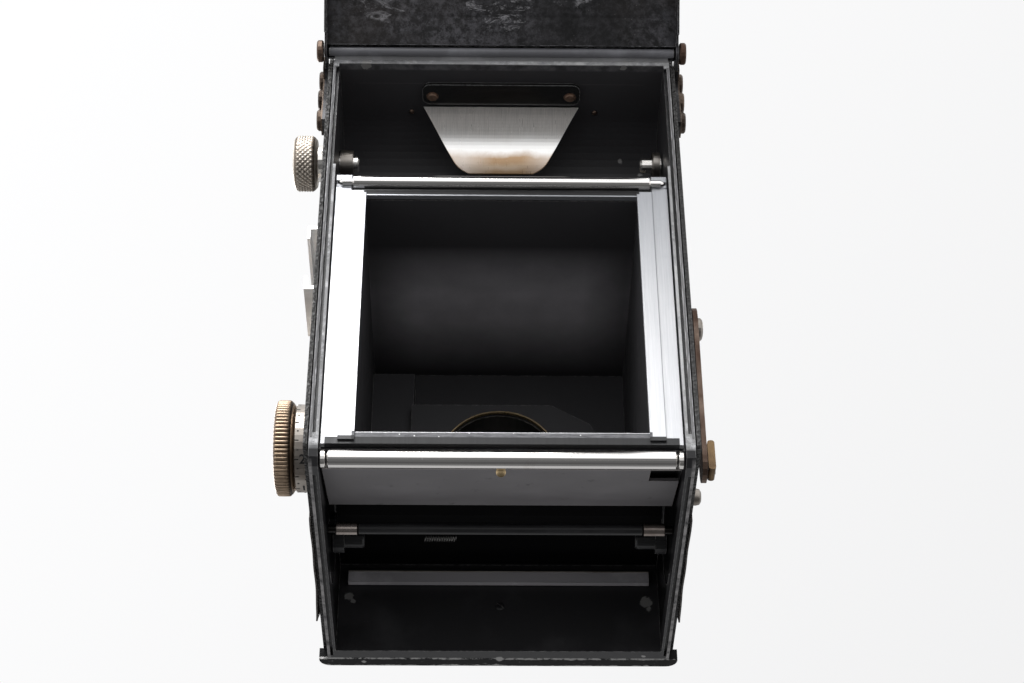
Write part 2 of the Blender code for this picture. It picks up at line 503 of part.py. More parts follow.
def door(black, leather, nickel, steel):
    """The L-shaped back and base, modelled shut and then swung open about its pivot."""
    made = []

    def part(name, bm, finish, origin=(0, 0, 0)):
        made.append(add(name, bm, finish, origin))
        return made[-1]

    hinge = (0, y_at(HINGE_DEPTH), HINGE_Z)
    half = LIP_HALF_W
    flange = 37.8 * MM
    outer = side_view([
        (-1.8, 105.8), (-3.4, 105.8), (-5.6, 101.5), (-5.6, -0.4), (-4.8, -2.4), (-2.8, -3.2), (72, -3.2), (72, -0.3),
        (1, -0.3), (-1, 0.4), (-1.8, 2.4),
    ])
    shell = part("door_shell", prism(outer, "X", -half, half), black)
    back = [(-4.4, 103.5), (1.2, 103.5), (1.2, 3.2), (3, 1.8), (72, 1.8), (72, -2), (-2, -2), (-4.4, 1)]
    for side in (-1, 1):
        join(shell, prism(side_view(back), "X", side * flange, side * half))
        ear = [(hinge[1] + 2.2 * MM, 102.5 * MM)] + arc(hinge[1], HINGE_Z, 2.2 * MM, 0, 180, 8)
        ear += [(hinge[1] - 2.2 * MM, 102.5 * MM)]
        join(shell, prism(ear, "X", side * flange, side * half))
    rolled = arc(hinge[1], hinge[2], 1.3 * MM, -75, 75, 12) + arc(hinge[1], hinge[2], 1.65 * MM, -75, 75, 12)[::-1]
    join(shell, prism(rolled, "X", -half, half))
    cut(shell, block(-31 * MM, 31 * MM, y_at(-4.6 * MM), y_at(0), 8 * MM, 74 * MM))
    for side in (-1, 1):
        for depth in (5 * MM, 60 * MM):
            foot = (side * 31 * MM, y_at(depth), 0)
            join(shell, rod("Z", foot, -5 * MM, -3 * MM, 2.6 * MM, 0.4 * MM, 16))

    for side, word in ((1, "left"), (-1, "right")):
        low, high = sorted((side * 38.6 * MM, side * 40 * MM))
        part(f"{word}_hinge_stud", rod("X", hinge, low, high, 2.4 * MM, 0.3 * MM, 20), steel, hinge)

    plate = rounded(-30.4 * MM, 30.4 * MM, 9 * MM, 67 * MM, 2 * MM)
    part("pressure_plate", prism(plate, "Y", y_at(-2 * MM), y_at(-0.9 * MM)), black)
    leaf = rounded(-22 * MM, 22 * MM, 35 * MM, 41 * MM, 2.5 * MM)
    part("pressure_plate_spring", prism(leaf, "Y", y_at(-4.3 * MM), y_at(-3.8 * MM)), nickel)
    skin = rounded(-36 * MM, 36 * MM, 3 * MM, 104 * MM, 3 * MM)
    part("door_leather", prism(skin, "Y", y_at(-6.6 * MM), y_at(-5.9 * MM)), leather)
    table = rounded(-25 * MM, 25 * MM, 28 * MM, 78 * MM, 2 * MM)
    part("exposure_table_plate", prism(table, "Y", y_at(-7.5 * MM), y_at(-6.9 * MM)), nickel)

    bush = (0, y_at(36 * MM), 0)
    part("tripod_bush", ring("Z", bush, -5 * MM, -3.5 * MM, 3.1 * MM, 8 * MM), nickel)
    latch_pivot = (0, y_at(66.6 * MM), -4.3 * MM)
    latch = side_view([(66.1, -3.6), (66.1, -4.9), (74.6, -4.9), (74.6, -3.6)])
    part("door_latch", prism(latch, "X", -11 * MM, 11 * MM), nickel, latch_pivot)

    pivot = bpy.data.objects.new("door_pivot", None)
    pivot.location = hinge
    bpy.context.scene.collection.objects.link(pivot)
    for obj in made:
        helpers = [m.object for m in obj.modifiers]
        for each in [obj] + helpers:
            each.parent = pivot
            each.location = each.location - Vector(hinge)
    pivot.rotation_euler.x = math.radians(DOOR_OPEN_DEG)


def main():
    for obj in list(bpy.data.objects):
        bpy.data.objects.remove(obj)
    black = material("black_paint", (0.02, 0.02, 0.021), 0.4)
    leather = material("black_leather", (0.03, 0.028, 0.026), 0.7)
    aluminium = material("bare_aluminium", (0.8, 0.81, 0.83), 0.35, 1)
    grey = material("grey_satin", (0.3, 0.3, 0.31), 0.5, 0.6)
    nickel = material("nickel_plate", (0.66, 0.62, 0.55), 0.3, 1)
    bronze = material("worn_bronze", (0.36, 0.28, 0.17), 0.45, 1)
    brass = material("lens_brass", (0.72, 0.52, 0.26), 0.35, 1)
    steel = material("brown_steel", (0.22, 0.15, 0.11), 0.5, 1)
    silver = material("mirror_silver", (0.9, 0.9, 0.9), 0.05, 1)
    glass = material("optical_glass", (0.75, 0.8, 0.82), 0.05)

    body(black, leather, nickel)
    film_gate(aluminium, grey)
    rollers(nickel, black)
    spool_fittings(nickel, bronze, black)
    side_controls(bronze, nickel, brass)
    viewfinder(silver, glass, black)
    hood(black, nickel, glass)
    lens_board(black, nickel, glass, brass)
    door(black, leather, nickel, steel)


main()
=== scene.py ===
"""The looks of a twin lens reflex camera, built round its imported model.

Everything is in metres in the model's own frame: lenses to -Y, film side to +Y, +Z up.
Depths are measured forwards from the film plane, as in the model's own source.
"""

import functools
import math
import random

import bmesh
import bpy
from mathutils import Matrix, Vector


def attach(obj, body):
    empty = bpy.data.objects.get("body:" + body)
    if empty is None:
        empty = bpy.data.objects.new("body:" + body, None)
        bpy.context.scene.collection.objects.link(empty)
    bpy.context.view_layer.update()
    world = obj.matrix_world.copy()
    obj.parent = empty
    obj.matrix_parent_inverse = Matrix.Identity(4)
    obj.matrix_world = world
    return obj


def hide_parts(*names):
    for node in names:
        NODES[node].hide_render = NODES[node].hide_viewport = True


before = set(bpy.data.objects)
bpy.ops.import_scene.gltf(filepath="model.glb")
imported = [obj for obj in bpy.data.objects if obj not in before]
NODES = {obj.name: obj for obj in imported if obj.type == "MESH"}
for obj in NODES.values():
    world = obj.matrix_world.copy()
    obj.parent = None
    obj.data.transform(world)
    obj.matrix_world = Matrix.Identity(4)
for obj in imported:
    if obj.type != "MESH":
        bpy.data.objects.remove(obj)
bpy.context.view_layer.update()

MM = 0.001
FILM_Y = 73.8
HINGE_DEPTH = -2.8
HINGE_Z = 107.2
DOOR_OPEN = math.radians(141.5)
TAKEUP = (0, 14.5, 90)
FOCUS = (0, 44.6, 35.2)
TAKING_Z = 37.2
VIEWING_Z = 79.2
CRANK = (-43, 28, 55)
HANDLE_PIVOT = (-43.6, 28, 18)
DOOR_INSIDE = -1.8

# How strongly pits and polish streaks show on metal
PIT_SHARE = 0.4
STREAK_SHARE = 0.25

# Steps round a fine wire, and round a lens ring
WIRE_SIDES = 6
LENS_SEGMENTS = 64

# Half the angle that the focusing scale covers
SCALE_HALF_TURN = 150

# The camera that frames the open back from below and behind
VIEW_PLACE = Vector((3.981, 404.782, -233.657)) * MM
VIEW_RIGHT = Vector((-0.999885, 0.014562, -0.00425))
VIEW_UP = Vector((0.005729, 0.621913, 0.783066))
VIEW_BACK = Vector((0.014046, 0.782951, -0.621924))
LENS_MM = 75.87


def at(x, depth, z):
    """A point given in millimetres: sideways, in front of the film plane, and up."""
    return Vector((x, FILM_Y - depth, z)) * MM


def door_swing():
    """Carries the door from shut to the open rest position."""
    hinge = Matrix.Translation(at(0, HINGE_DEPTH, HINGE_Z))
    return hinge @ Matrix.Rotation(DOOR_OPEN, 4, "X") @ hinge.inverted()


def link(obj):
    bpy.context.scene.collection.objects.link(obj)


def make_camera():
    data = bpy.data.cameras.new("view_camera")
    data.lens = LENS_MM
    data.sensor_width = 36
    data.clip_start = 0.01
    data.clip_end = 20
    made = bpy.data.objects.new("view_camera", data)
    axes = Matrix((VIEW_RIGHT, VIEW_UP, VIEW_BACK)).transposed()
    made.matrix_world = Matrix.Translation(VIEW_PLACE) @ axes.to_4x4()
    link(made)
    bpy.context.scene.camera = made


# Materials

class Nodes:
    """A node tree that is built up a line at a time."""

    def __init__(self, tree):
        self.tree = tree

    def new(self, kind, inputs=None, **settings):
        """Adds a node, sets what kind it is, and then feeds the inputs that are given."""
        made = self.tree.nodes.new(kind)
        for key, value in settings.items():
            setattr(made, key, value)
        for key, value in (inputs or {}).items():
            self.feed(made.inputs[key], value)
        return made

    def feed(self, socket, value):
        if isinstance(value, bpy.types.NodeSocket):
            self.tree.links.new(value, socket)
        elif isinstance(value, tuple) and len(value) == 3 and socket.type == "RGBA":
            socket.default_value = (*value, 1)
        else:
            socket.default_value = value

    def ramp(self, value, low, high, a=0.0, b=1.0):
        """Carries low..high to a..b, and holds at both ends."""
        inputs = {"Value": value, "From Min": low, "From Max": high, "To Min": a, "To Max": b}
        return self.new("ShaderNodeMapRange", inputs, clamp=True).outputs[0]

    def sums(self, operation, a, b=0.0, clamp=False):
        return self.new("ShaderNodeMath", {0: a, 1: b}, operation=operation, use_clamp=clamp).outputs[0]

    def plus(self, a, b, clamp=False):
        return self.sums("ADD", a, b, clamp)

    def less(self, a, b):
        return self.sums("SUBTRACT", a, b)

    def vector(self, operation, a, b, output="Value"):
        return self.new("ShaderNodeVectorMath", {0: a, 1: b}, operation=operation).outputs[output]

    def times(self, *values):
        return functools.reduce(lambda a, b: self.sums("MULTIPLY", a, b), values)

    def most(self, *values):
        return functools.reduce(lambda a, b: self.sums("MAXIMUM", a, b), values)

    def mix(self, share, a, b):
        return self.new("ShaderNodeMix", {0: share, 6: a, 7: b}, data_type="RGBA").outputs[2]


class Graph(Nodes):
    """A node material, whose base colour is coated over in turn."""

    def __init__(self, name):
        self.material = bpy.data.materials.new(name)
        self.material.use_nodes = True
        super().__init__(self.material.node_tree)
        self.shader = self.tree.nodes["Principled BSDF"]
        self.place = self.new("ShaderNodeTexCoord").outputs["Object"]
        self.base = None

    def set(self, **values):
        for key, value in values.items():
            self.feed(self.shader.inputs[key.replace("_", " ")], value)

    def coat(self, share, colour):
        """Lays a colour over the base where share is 1."""
        self.base = self.mix(share, self.base, colour)

    def scaled(self, stretch):
        if stretch is None:
            return self.place
        return self.new("ShaderNodeMapping", {"Vector": self.place, "Scale": stretch}).outputs[0]

    def noise(self, scale, detail=4, rough=0.5, stretch=None, distortion=0.0):
        inputs = {
            "Vector": self.scaled(stretch), "Scale": scale, "Detail": detail,
            "Roughness": rough, "Distortion": distortion,
        }
        return self.new("ShaderNodeTexNoise", inputs).outputs["Fac"]

    def patches(self, low, high, *args, **settings):
        """Noise that is 0 below one level and 1 above another."""
        return self.ramp(self.noise(*args, **settings), low, high)

    def cells(self, scale, feature="F1"):
        inputs = {"Vector": self.place, "Scale": scale, "Randomness": 1.0}
        return self.new("ShaderNodeTexVoronoi", inputs, feature=feature).outputs["Distance"]

    def axis(self, letter):
        return self.new("ShaderNodeSeparateXYZ", {0: self.place}).outputs[letter]

    def side(self):
        """Millimetres from the middle plane, the same on both sides."""
        return self.times(self.sums("ABSOLUTE", self.axis("X")), 1 / MM)

    def depth(self):
        return self.less(FILM_Y, self.times(self.axis("Y"), 1 / MM))

    def height(self):
        return self.times(self.axis("Z"), 1 / MM)

    def along(self, direction, start):
        """Millimetres from a start point along a direction."""
        offset = self.vector("SUBTRACT", self.place, start, "Vector")
        return self.vector("DOT_PRODUCT", offset, direction / MM)

    def near(self, point, radius, ragged=0.0, scale=700):
        """1 within a radius in millimetres of a point, with an edge that noise can make ragged."""
        reach = self.times(self.vector("DISTANCE", self.place, point), 1 / MM)
        if ragged:
            rough = self.times(self.less(self.noise(scale, 4, 0.6), 0.5), ragged)
            reach = self.plus(reach, rough)
        return self.ramp(reach, radius + 0.12, radius - 0.12)

    def band(self, value, low, high, soft=0.1):
        """1 between two values, fading over a soft edge at each end."""
        rise = self.ramp(value, low - soft, low + soft)
        fall = self.ramp(value, high + soft, high - soft)
        return self.times(rise, fall)

    def bump(self, height, distance, strength=1.0, under=None):
        """A relief with its depth in millimetres, laid over another one if it is given."""
        inputs = {"Height": height, "Distance": distance * MM, "Strength": strength}
        if under is not None:
            inputs["Normal"] = under
        return self.new("ShaderNodeBump", inputs).outputs[0]

    def relief(self, *args):
        self.set(Normal=self.bump(*args))

    def worn_edge(self, radius, low=0.06, high=0.3, spread=(0.42, 0.62)):
        """Near 1 on sharp edges, broken up by noise so that the wear is patchy."""
        bevel = self.new("ShaderNodeBevel", {"Radius": radius * MM}, samples=4).outputs[0]
        normal = self.new("ShaderNodeNewGeometry").outputs["Normal"]
        turned_away = self.less(1.0, self.vector("DOT_PRODUCT", bevel, normal))
        patches = self.ramp(self.noise(900, 5, 0.65), *spread)
        return self.times(self.ramp(turned_away, low, high), patches)

    def dust(self, amount, low=0.54, high=0.66):
        """Small pale specks that gather in patches."""
        specks = self.ramp(self.cells(1300), 0.12, 0.04)
        return self.times(specks, self.patches(low, high, 240, 2), amount)

    def scratches(self, amount, stretch, scale=220):
        """Fine broken scratches that run along the axis with the smallest stretch."""
        lines = self.patches(0.66, 0.72, scale, 6, 0.7, stretch=stretch)
        return self.times(lines, self.patches(0.5, 0.62, 60, 3), amount)


def black_paint(
    name, gloss=0.36, dust=0.5, wear=1.0, tint=(0.010, 0.010, 0.011), edge=0.3, spread=(0.42, 0.62),
):
    """Stove enamel: orange peel, dust specks, rubbed patches and chips down to bare metal at edges."""
    g = Graph(name)
    rub = g.patches(0.5, 0.72, 70, 6, 0.62)
    flecks = g.dust(dust)
    lines = g.scratches(0.5, (1, 14, 14))
    g.base = g.mix(g.times(rub, 0.5), tint, tuple(c * 2.6 for c in tint))
    g.coat(g.most(flecks, lines), (0.20, 0.19, 0.175))
    chips = g.times(g.worn_edge(edge, spread=spread), wear)
    g.coat(chips, (0.34, 0.33, 0.32))
    rough = g.plus(g.ramp(rub, 0, 1, gloss, gloss + 0.2), g.times(flecks, 0.3), clamp=True)
    g.set(Base_Color=g.base, Roughness=rough, Metallic=g.times(chips, 0.7))
    g.set(Specular_IOR_Level=0.4)
    peel = g.bump(g.noise(1400, 3), 0.03, 0.5)
    g.relief(g.less(0.0, chips), 0.05, 0.6, peel)
    return g.material


def leather(name, tone=(0.013, 0.012, 0.0115)):
    """Fine pebbled leatherette whose grain tops are polished by handling, with a worn cut edge."""
    g = Graph(name)
    coarse = g.cells(900, "DISTANCE_TO_EDGE")
    fine = g.cells(2100, "F1")
    creases = g.noise(320, 4, 0.6)
    grain = g.plus(g.ramp(coarse, 0.0, 0.3), g.times(fine, 0.35))
    worn = g.patches(0.48, 0.72, 28, 6, 0.6)
    tops = g.times(g.ramp(coarse, 0.12, 0.34), worn)
    g.base = g.mix(tops, tone, tuple(c * 3.2 for c in tone))
    frayed = g.worn_edge(0.5, 0.03, 0.25, (0.4, 0.58))
    g.coat(g.times(frayed, 0.75), (0.10, 0.095, 0.09))
    g.set(Base_Color=g.base, Roughness=g.ramp(grain, 0.1, 0.9, 0.62, 0.42))
    relief = g.bump(grain, 0.16, 0.8)
    g.relief(creases, 0.12, 0.5, relief)
    return g.material


def metal(name, light, dark, rough, grain=None, stain=(0.5, 0.7), edge=None, dirty_beyond=None):
    """Polished or brushed metal: a base and a tarnish colour, directional polish marks and small pits."""
    g = Graph(name)
    tarnish = g.ramp(g.noise(95, 6, 0.62, distortion=0.4), *stain)
    marks = g.noise(60, 8, 0.7, stretch=grain or (20, 20, 20))
    spots = g.times(g.ramp(g.cells(1300), 0.12, 0.05), g.patches(0.55, 0.65, 300, 2), PIT_SHARE)
    g.base = g.mix(tarnish, light, dark)
    g.coat(g.times(g.ramp(marks, 0.35, 0.65), STREAK_SHARE), tuple(c * 0.72 for c in light))
    g.coat(spots, (0.05, 0.04, 0.03))
    if edge:
        g.coat(g.worn_edge(0.3, 0.03, 0.2), edge)
    if dirty_beyond:
        g.coat(g.ramp(g.side(), dirty_beyond, dirty_beyond + 0.15), (0.02, 0.018, 0.017))
    g.set(Base_Color=g.base)
    g.set(Metallic=1.0)
    g.set(Roughness=g.ramp(g.plus(marks, tarnish), 0.3, 1.5, *rough))
    fine = g.bump(marks, 0.02, 0.35)
    g.relief(g.less(0.0, spots), 0.05, 0.5, fine)
    return g.material


def knurled_metal(name, crest, valley, low, high, axis):
    """Worn plating on a knurl: bright crests and dirty grooves, told apart by radius from the axis."""
    g = Graph(name)
    flat = g.vector("MULTIPLY", g.place, (0, 1, 1), "Vector")
    centre = at(*axis)
    gap = g.vector("DISTANCE", flat, (0, centre.y, centre.z))
    radius = g.times(gap, 1 / MM)
    up = g.ramp(radius, low, high)
    face = g.ramp(radius, low - 0.15, low - 0.3)
    wear = g.ramp(g.noise(420, 5, 0.65), 0.35, 0.65, 0.55, 1.0)
    g.base = g.mix(g.times(up, wear), valley, crest)
    brown = g.mix(g.patches(0.4, 0.65, 150, 5, 0.6), crest, tuple(c * 0.6 for c in crest))
    g.coat(face, brown)
    g.set(Base_Color=g.base, Roughness=g.ramp(g.noise(500, 4), 0.3, 0.7, 0.3, 0.5))
    g.set(Metallic=0.9)
    g.relief(g.noise(1500, 4, 0.6), 0.03, 0.4)
    return g.material


def leaf_metal(name):
    """Spring leaf: brushed across, dull at its root, with a painted highlight at the bend and straw-brown
    towards its tip.
    """
    g = Graph(name)
    marks = g.noise(70, 8, 0.7, stretch=(60, 3, 3))
    z = g.height()
    uneven = g.plus(z, g.ramp(g.noise(110, 5, 0.6), 0.3, 0.7, -0.7, 0.7))
    g.base = g.mix(g.ramp(marks, 0.35, 0.65), (0.95, 0.91, 0.87), (0.74, 0.71, 0.68))
    # Painted highlight: below its root and about the bend, the leaf is made near-white where it reflects
    # the light.
    g.coat(g.ramp(uneven, 100.2, 98.0), (0.97, 0.96, 0.94))
    sideways = g.plus(g.times(g.axis("X"), 1 / MM), 1.5)
    middle = g.ramp(g.sums("ABSOLUTE", sideways), 9.5, 3.0)
    straw = g.times(g.ramp(uneven, 96.4, 94.6), g.plus(g.times(middle, 0.45), 0.55))
    g.coat(straw, (0.47, 0.315, 0.19))
    pale_foot = g.times(g.band(uneven, 91.6, 93.0, 0.5), g.ramp(g.side(), 7.5, 3.0), 0.6)
    g.coat(pale_foot, (0.66, 0.55, 0.43))
    rim = g.worn_edge(0.4, 0.04, 0.2, (0.3, 0.4))
    g.coat(g.times(rim, g.ramp(z, 97, 95)), (0.42, 0.26, 0.12))
    g.coat(g.times(rim, g.ramp(z, 102.2, 103.0)), (0.95, 0.93, 0.9))
    g.set(Base_Color=g.base, Metallic=g.ramp(z, 101, 97, 0.72, 1.0))
    g.set(Roughness=g.ramp(marks, 0.3, 0.7, 0.26, 0.36))
    g.relief(marks, 0.02, 0.4)
    return g.material


def gate_metal(name):
    """Bare machined rails with upright polish marks, a parting line, a dull strip across the foot and
    painted shade darkening them towards the top.
    """
    g = Graph(name)
    marks = g.noise(60, 8, 0.7, stretch=(60, 60, 1.5))
    x, z = g.side(), g.height()
    g.base = g.mix(g.ramp(marks, 0.35, 0.65), (0.60, 0.60, 0.61), (0.50, 0.505, 0.52))
    smudge = g.patches(0.56, 0.72, 240, 6, 0.66)
    g.coat(g.times(smudge, g.ramp(z, 30, 66, 0.15, 0.6)), (0.46, 0.47, 0.49))
    # Painted shade: the rails are made darker and bluer towards the top, as the light falls on them.
    g.coat(g.ramp(z, 40, 68, 0, 0.4), (0.36, 0.385, 0.43))
    g.coat(g.ramp(g.axis("X"), -0.026, -0.032, 0, 0.3), (0.38, 0.385, 0.40))
    line = g.times(g.band(x, 31.0, 31.2, 0.06), 0.8)
    g.coat(line, (0.16, 0.16, 0.17))
    strip = g.times(g.ramp(z, 7.15, 7.05), g.ramp(x, 28.6, 28.4))
    speckle = g.patches(0.35, 0.65, 420, 6, 0.7, stretch=(1, 1, 6))
    strip_tone = g.mix(speckle, (0.05, 0.05, 0.055), (0.17, 0.17, 0.18))
    g.coat(strip, strip_tone)
    specks = g.times(g.ramp(g.cells(700), 0.12, 0.05), strip)
    g.coat(specks, (0.8, 0.8, 0.8))
    spots = g.dust(0.5, 0.6, 0.7)
    g.coat(spots, (0.25, 0.25, 0.25))
    foot = g.times(g.ramp(z, 6.15, 6.0), g.ramp(x, 33.7, 33.5))
    top = g.times(g.ramp(z, 67.95, 68.05), g.ramp(x, 28.6, 28.4), g.ramp(z, 69.4, 69.2))
    bar = g.most(top, foot)
    g.coat(bar, (0.012, 0.012, 0.013))
    g.set(Base_Color=g.base, Metallic=g.ramp(g.most(strip, bar), 0, 1, 0.85, 0.2))
    g.set(Roughness=g.plus(g.ramp(marks, 0.3, 0.7, 0.30, 0.46), g.times(strip, 0.15)))
    g.relief(marks, 0.02, 0.4)
    return g.material


def optical_glass(name):
    """Coated glass with faint cleaning marks."""
    g = Graph(name)
    tint = (0.86, 0.92, 0.95)
    marks = g.noise(240, 6, 0.7, stretch=(1, 1, 4))
    g.set(Base_Color=g.mix(g.ramp(marks, 0.5, 0.7), tint, tuple(c * 0.96 for c in tint)))
    g.set(Roughness=g.ramp(marks, 0.4, 0.8, 0.01, 0.06))
    g.set(Transmission_Weight=1.0)
    g.set(IOR=1.52)
    return g.material


def ground_screen(name):
    g = Graph(name)
    frost = g.noise(5200, 3)
    g.set(Base_Color=g.mix(frost, (0.52, 0.54, 0.53), (0.62, 0.64, 0.63)))
    g.set(Roughness=g.ramp(frost, 0.3, 0.7, 0.4, 0.6))
    g.set(Transmission_Weight=0.35)
    g.relief(frost, 0.02, 0.5)
    return g.material


def looking_glass(name):
    g = Graph(name)
    haze = g.noise(80, 6, 0.65)
    g.set(Base_Color=g.mix(g.ramp(haze, 0.5, 0.8), (0.9, 0.91, 0.92), (0.7, 0.68, 0.64)))
    g.set(Roughness=g.ramp(haze, 0.4, 0.8, 0.02, 0.18))
    g.set(Metallic=1.0)
    return g.material


# Places where the casting's enamel has come away, as (sideways, depth, height, radius)
CASTING_CHIPS = (
    (32.4, 69, 13.4, 1.0), (31.4, 69, 12.4, 0.6), (-31.9, 69, 12.3, 1.25),
    (-32.4, 69, 10.6, 0.6), (-0.2, 72.3, 0.1, 0.8), (0.4, 74.8, 0.4, 0.7),
    (28.8, 73.6, 0.2, 0.5), (-31.0, 71.0, 0.2, 0.4), (29.4, -0.8, 105.2, 1.1),
    (19.8, -1.0, 105.6, 0.6), (-15.5, -0.9, 105.5, 0.5), (-26.6, -0.6, 105.1, 0.7),
    (-27.0, 24.5, 100.8, 0.6), (-30.5, 27.0, 96.5, 0.9), (-29.6, 28.6, 92.5, 0.6),
    (-31.6, 26.4, 98.4, 0.5),
)


def body_material():
    """The casting: glossy enamel outside and in the spool chambers, dead black in the film tunnel, with a
    painted highlight across the tunnel roof, painted shade low in the feed chamber and painted light on the
    negative-X side of the rear rim.
    """
    g = Graph("casting_enamel")
    x, d, z = g.side(), g.depth(), g.height()
    rub = g.patches(0.5, 0.72, 70, 6, 0.62)
    g.base = g.mix(g.times(rub, 0.6), (0.018, 0.0176, 0.019), (0.036, 0.035, 0.038))
    floor = g.most(g.ramp(d, 2, 22, 5.3, 9.5), g.ramp(d, 21.5, 37, 9.6, 25.9))
    floor = g.sums("MINIMUM", floor, g.ramp(d, 48.5, 50, 25, 22.7))
    above_floor = g.ramp(g.less(z, floor), -0.2, 0.2)
    tunnel = g.times(g.ramp(x, 28.6, 28.4), above_floor, g.ramp(z, 67.95, 67.8))
    g.coat(tunnel, (0.038, 0.037, 0.040))
    roof = g.times(tunnel, g.ramp(z, 67.0, 67.5))
    # Painted highlight: a pale band across the tunnel roof, broken up by noise, stands in for the soft
    # reflection of the light coming in through the open back.
    painted_roof_highlight = g.times(roof, g.ramp(d, 16, 32), g.ramp(d, 60, 40), g.ramp(x, 27, 18, 0.35, 1.0))
    mottle = g.ramp(g.noise(120, 5, 0.6), 0.3, 0.7, 0.85, 1.1)
    g.coat(g.times(painted_roof_highlight, mottle, 0.9), (0.52, 0.50, 0.53))
    seat = g.times(g.ramp(x, 24, 22), g.band(d, 52.8, 53.2), g.band(z, 24, 54))
    g.coat(g.times(seat, 0.8), (0.040, 0.039, 0.042))
    g.coat(g.dust(0.4), (0.22, 0.21, 0.20))

    # Painted shade: the feed chamber's walls below the film path, outside the tunnel, are darkened to near
    # black as if in shadow, and their specular level is lowered.
    inner = g.times(g.ramp(z, 3.4, 5.0), g.ramp(z, 26.0, 24.0), g.band(d, 6, 68.6, 0.3))
    painted_chamber_shade = g.times(inner, g.ramp(tunnel, 1, 0))
    g.coat(g.times(painted_chamber_shade, 0.92), (0.0012, 0.0012, 0.0014))
    chamber = g.times(g.ramp(z, 74, 76), g.ramp(d, 31, 29), g.ramp(x, 35.3, 35.1))
    g.coat(g.times(chamber, 0.6), (0.055, 0.053, 0.057))
    lines = g.times(chamber, g.scratches(0.55, (14, 1, 1), 150))
    frame_line = g.times(g.band(d, 4.4, 4.55, 0.05), g.ramp(x, 31.4, 31.2), g.ramp(z, 104, 104.6), 0.25)
    g.coat(g.most(lines, frame_line), (0.16, 0.155, 0.15))

    rear_rim = g.times(g.ramp(d, -1.2, -1.35), g.ramp(z, 106.5, 105.5))
    front_lip = g.times(g.ramp(z, 2.75, 2.6), g.ramp(d, 71.8, 71.95))
    g.coat(g.times(front_lip, 0.8), (0.004, 0.004, 0.0045))
    bare = g.patches(0.47, 0.60, 420, 7, 0.7)
    grey = g.times(rear_rim, g.ramp(g.noise(130, 5, 0.65, stretch=(1, 1, 0.6)), 0.36, 0.56, 0.45, 1.0))
    # The grey where the rim is worn is real wear. Its lighter tone on the negative-X side is painted light,
    # where more light falls.
    rubbed = g.mix(g.ramp(g.axis("X"), 0.01, -0.01), (0.25, 0.25, 0.255), (0.52, 0.52, 0.52))
    g.coat(grey, rubbed)
    g.coat(g.times(rear_rim, bare), (0.50, 0.50, 0.51))
    base_rim = g.times(g.ramp(z, 0.9, 0.3), g.ramp(x, 35.6, 35.9), g.ramp(d, 72, 71.5))
    g.coat(g.times(base_rim, g.patches(0.36, 0.58, 300, 6, 0.68)), (0.26, 0.25, 0.25))
    hinge_lip = g.times(g.ramp(z, 104.8, 105.1), g.ramp(d, 0.6, 0.2), g.ramp(z, 111, 110))
    g.coat(g.times(hinge_lip, g.patches(0.40, 0.62, 300, 6, 0.7)), (0.24, 0.24, 0.25))
    g.coat(g.times(front_lip, g.patches(0.60, 0.68, 520, 7, 0.72)), (0.12, 0.118, 0.12))

    chips = g.worn_edge(0.32, 0.05, 0.25)
    reach = g.ramp(g.noise(150, 6, 0.7), 0.42, 0.7, 0.02, 0.9)
    rear_gap = g.ramp(d, 72.4, 75.4, 0.15, 4.95)
    gap = g.most(z, g.sums("MINIMUM", g.less(75.2, d), rear_gap))
    below_reach = g.ramp(g.less(reach, gap), -0.05, 0.05)
    lip_edge = g.times(front_lip, below_reach, g.patches(0.38, 0.5, 700, 6, 0.7))
    chips = g.most(g.times(chips, g.ramp(front_lip, 0, 1, 1.0, 0.15)), lip_edge)
    for px, depth, height, radius in CASTING_CHIPS:
        chips = g.most(chips, g.near(at(px, depth, height), radius, 1.6, 900))
    g.coat(chips, (0.30, 0.295, 0.29))
    g.set(Base_Color=g.base, Metallic=g.times(chips, 0.5))
    gloss = g.ramp(rub, 0, 1, 0.34, 0.52)
    dull = g.plus(g.times(tunnel, 0.14), g.times(rear_rim, 0.15))
    g.set(Roughness=g.plus(gloss, dull, clamp=True))
    g.set(Specular_IOR_Level=g.ramp(g.most(painted_chamber_shade, front_lip), 0, 1, 0.4, 0.08))
    crackle = g.bump(g.noise(900, 5, 0.62), 0.06, 0.55)
    pitted = g.bump(g.times(rear_rim, bare), 0.12, 0.8, crackle)
    g.relief(g.less(0.0, chips), 0.06, 0.6, pitted)
    return g.material


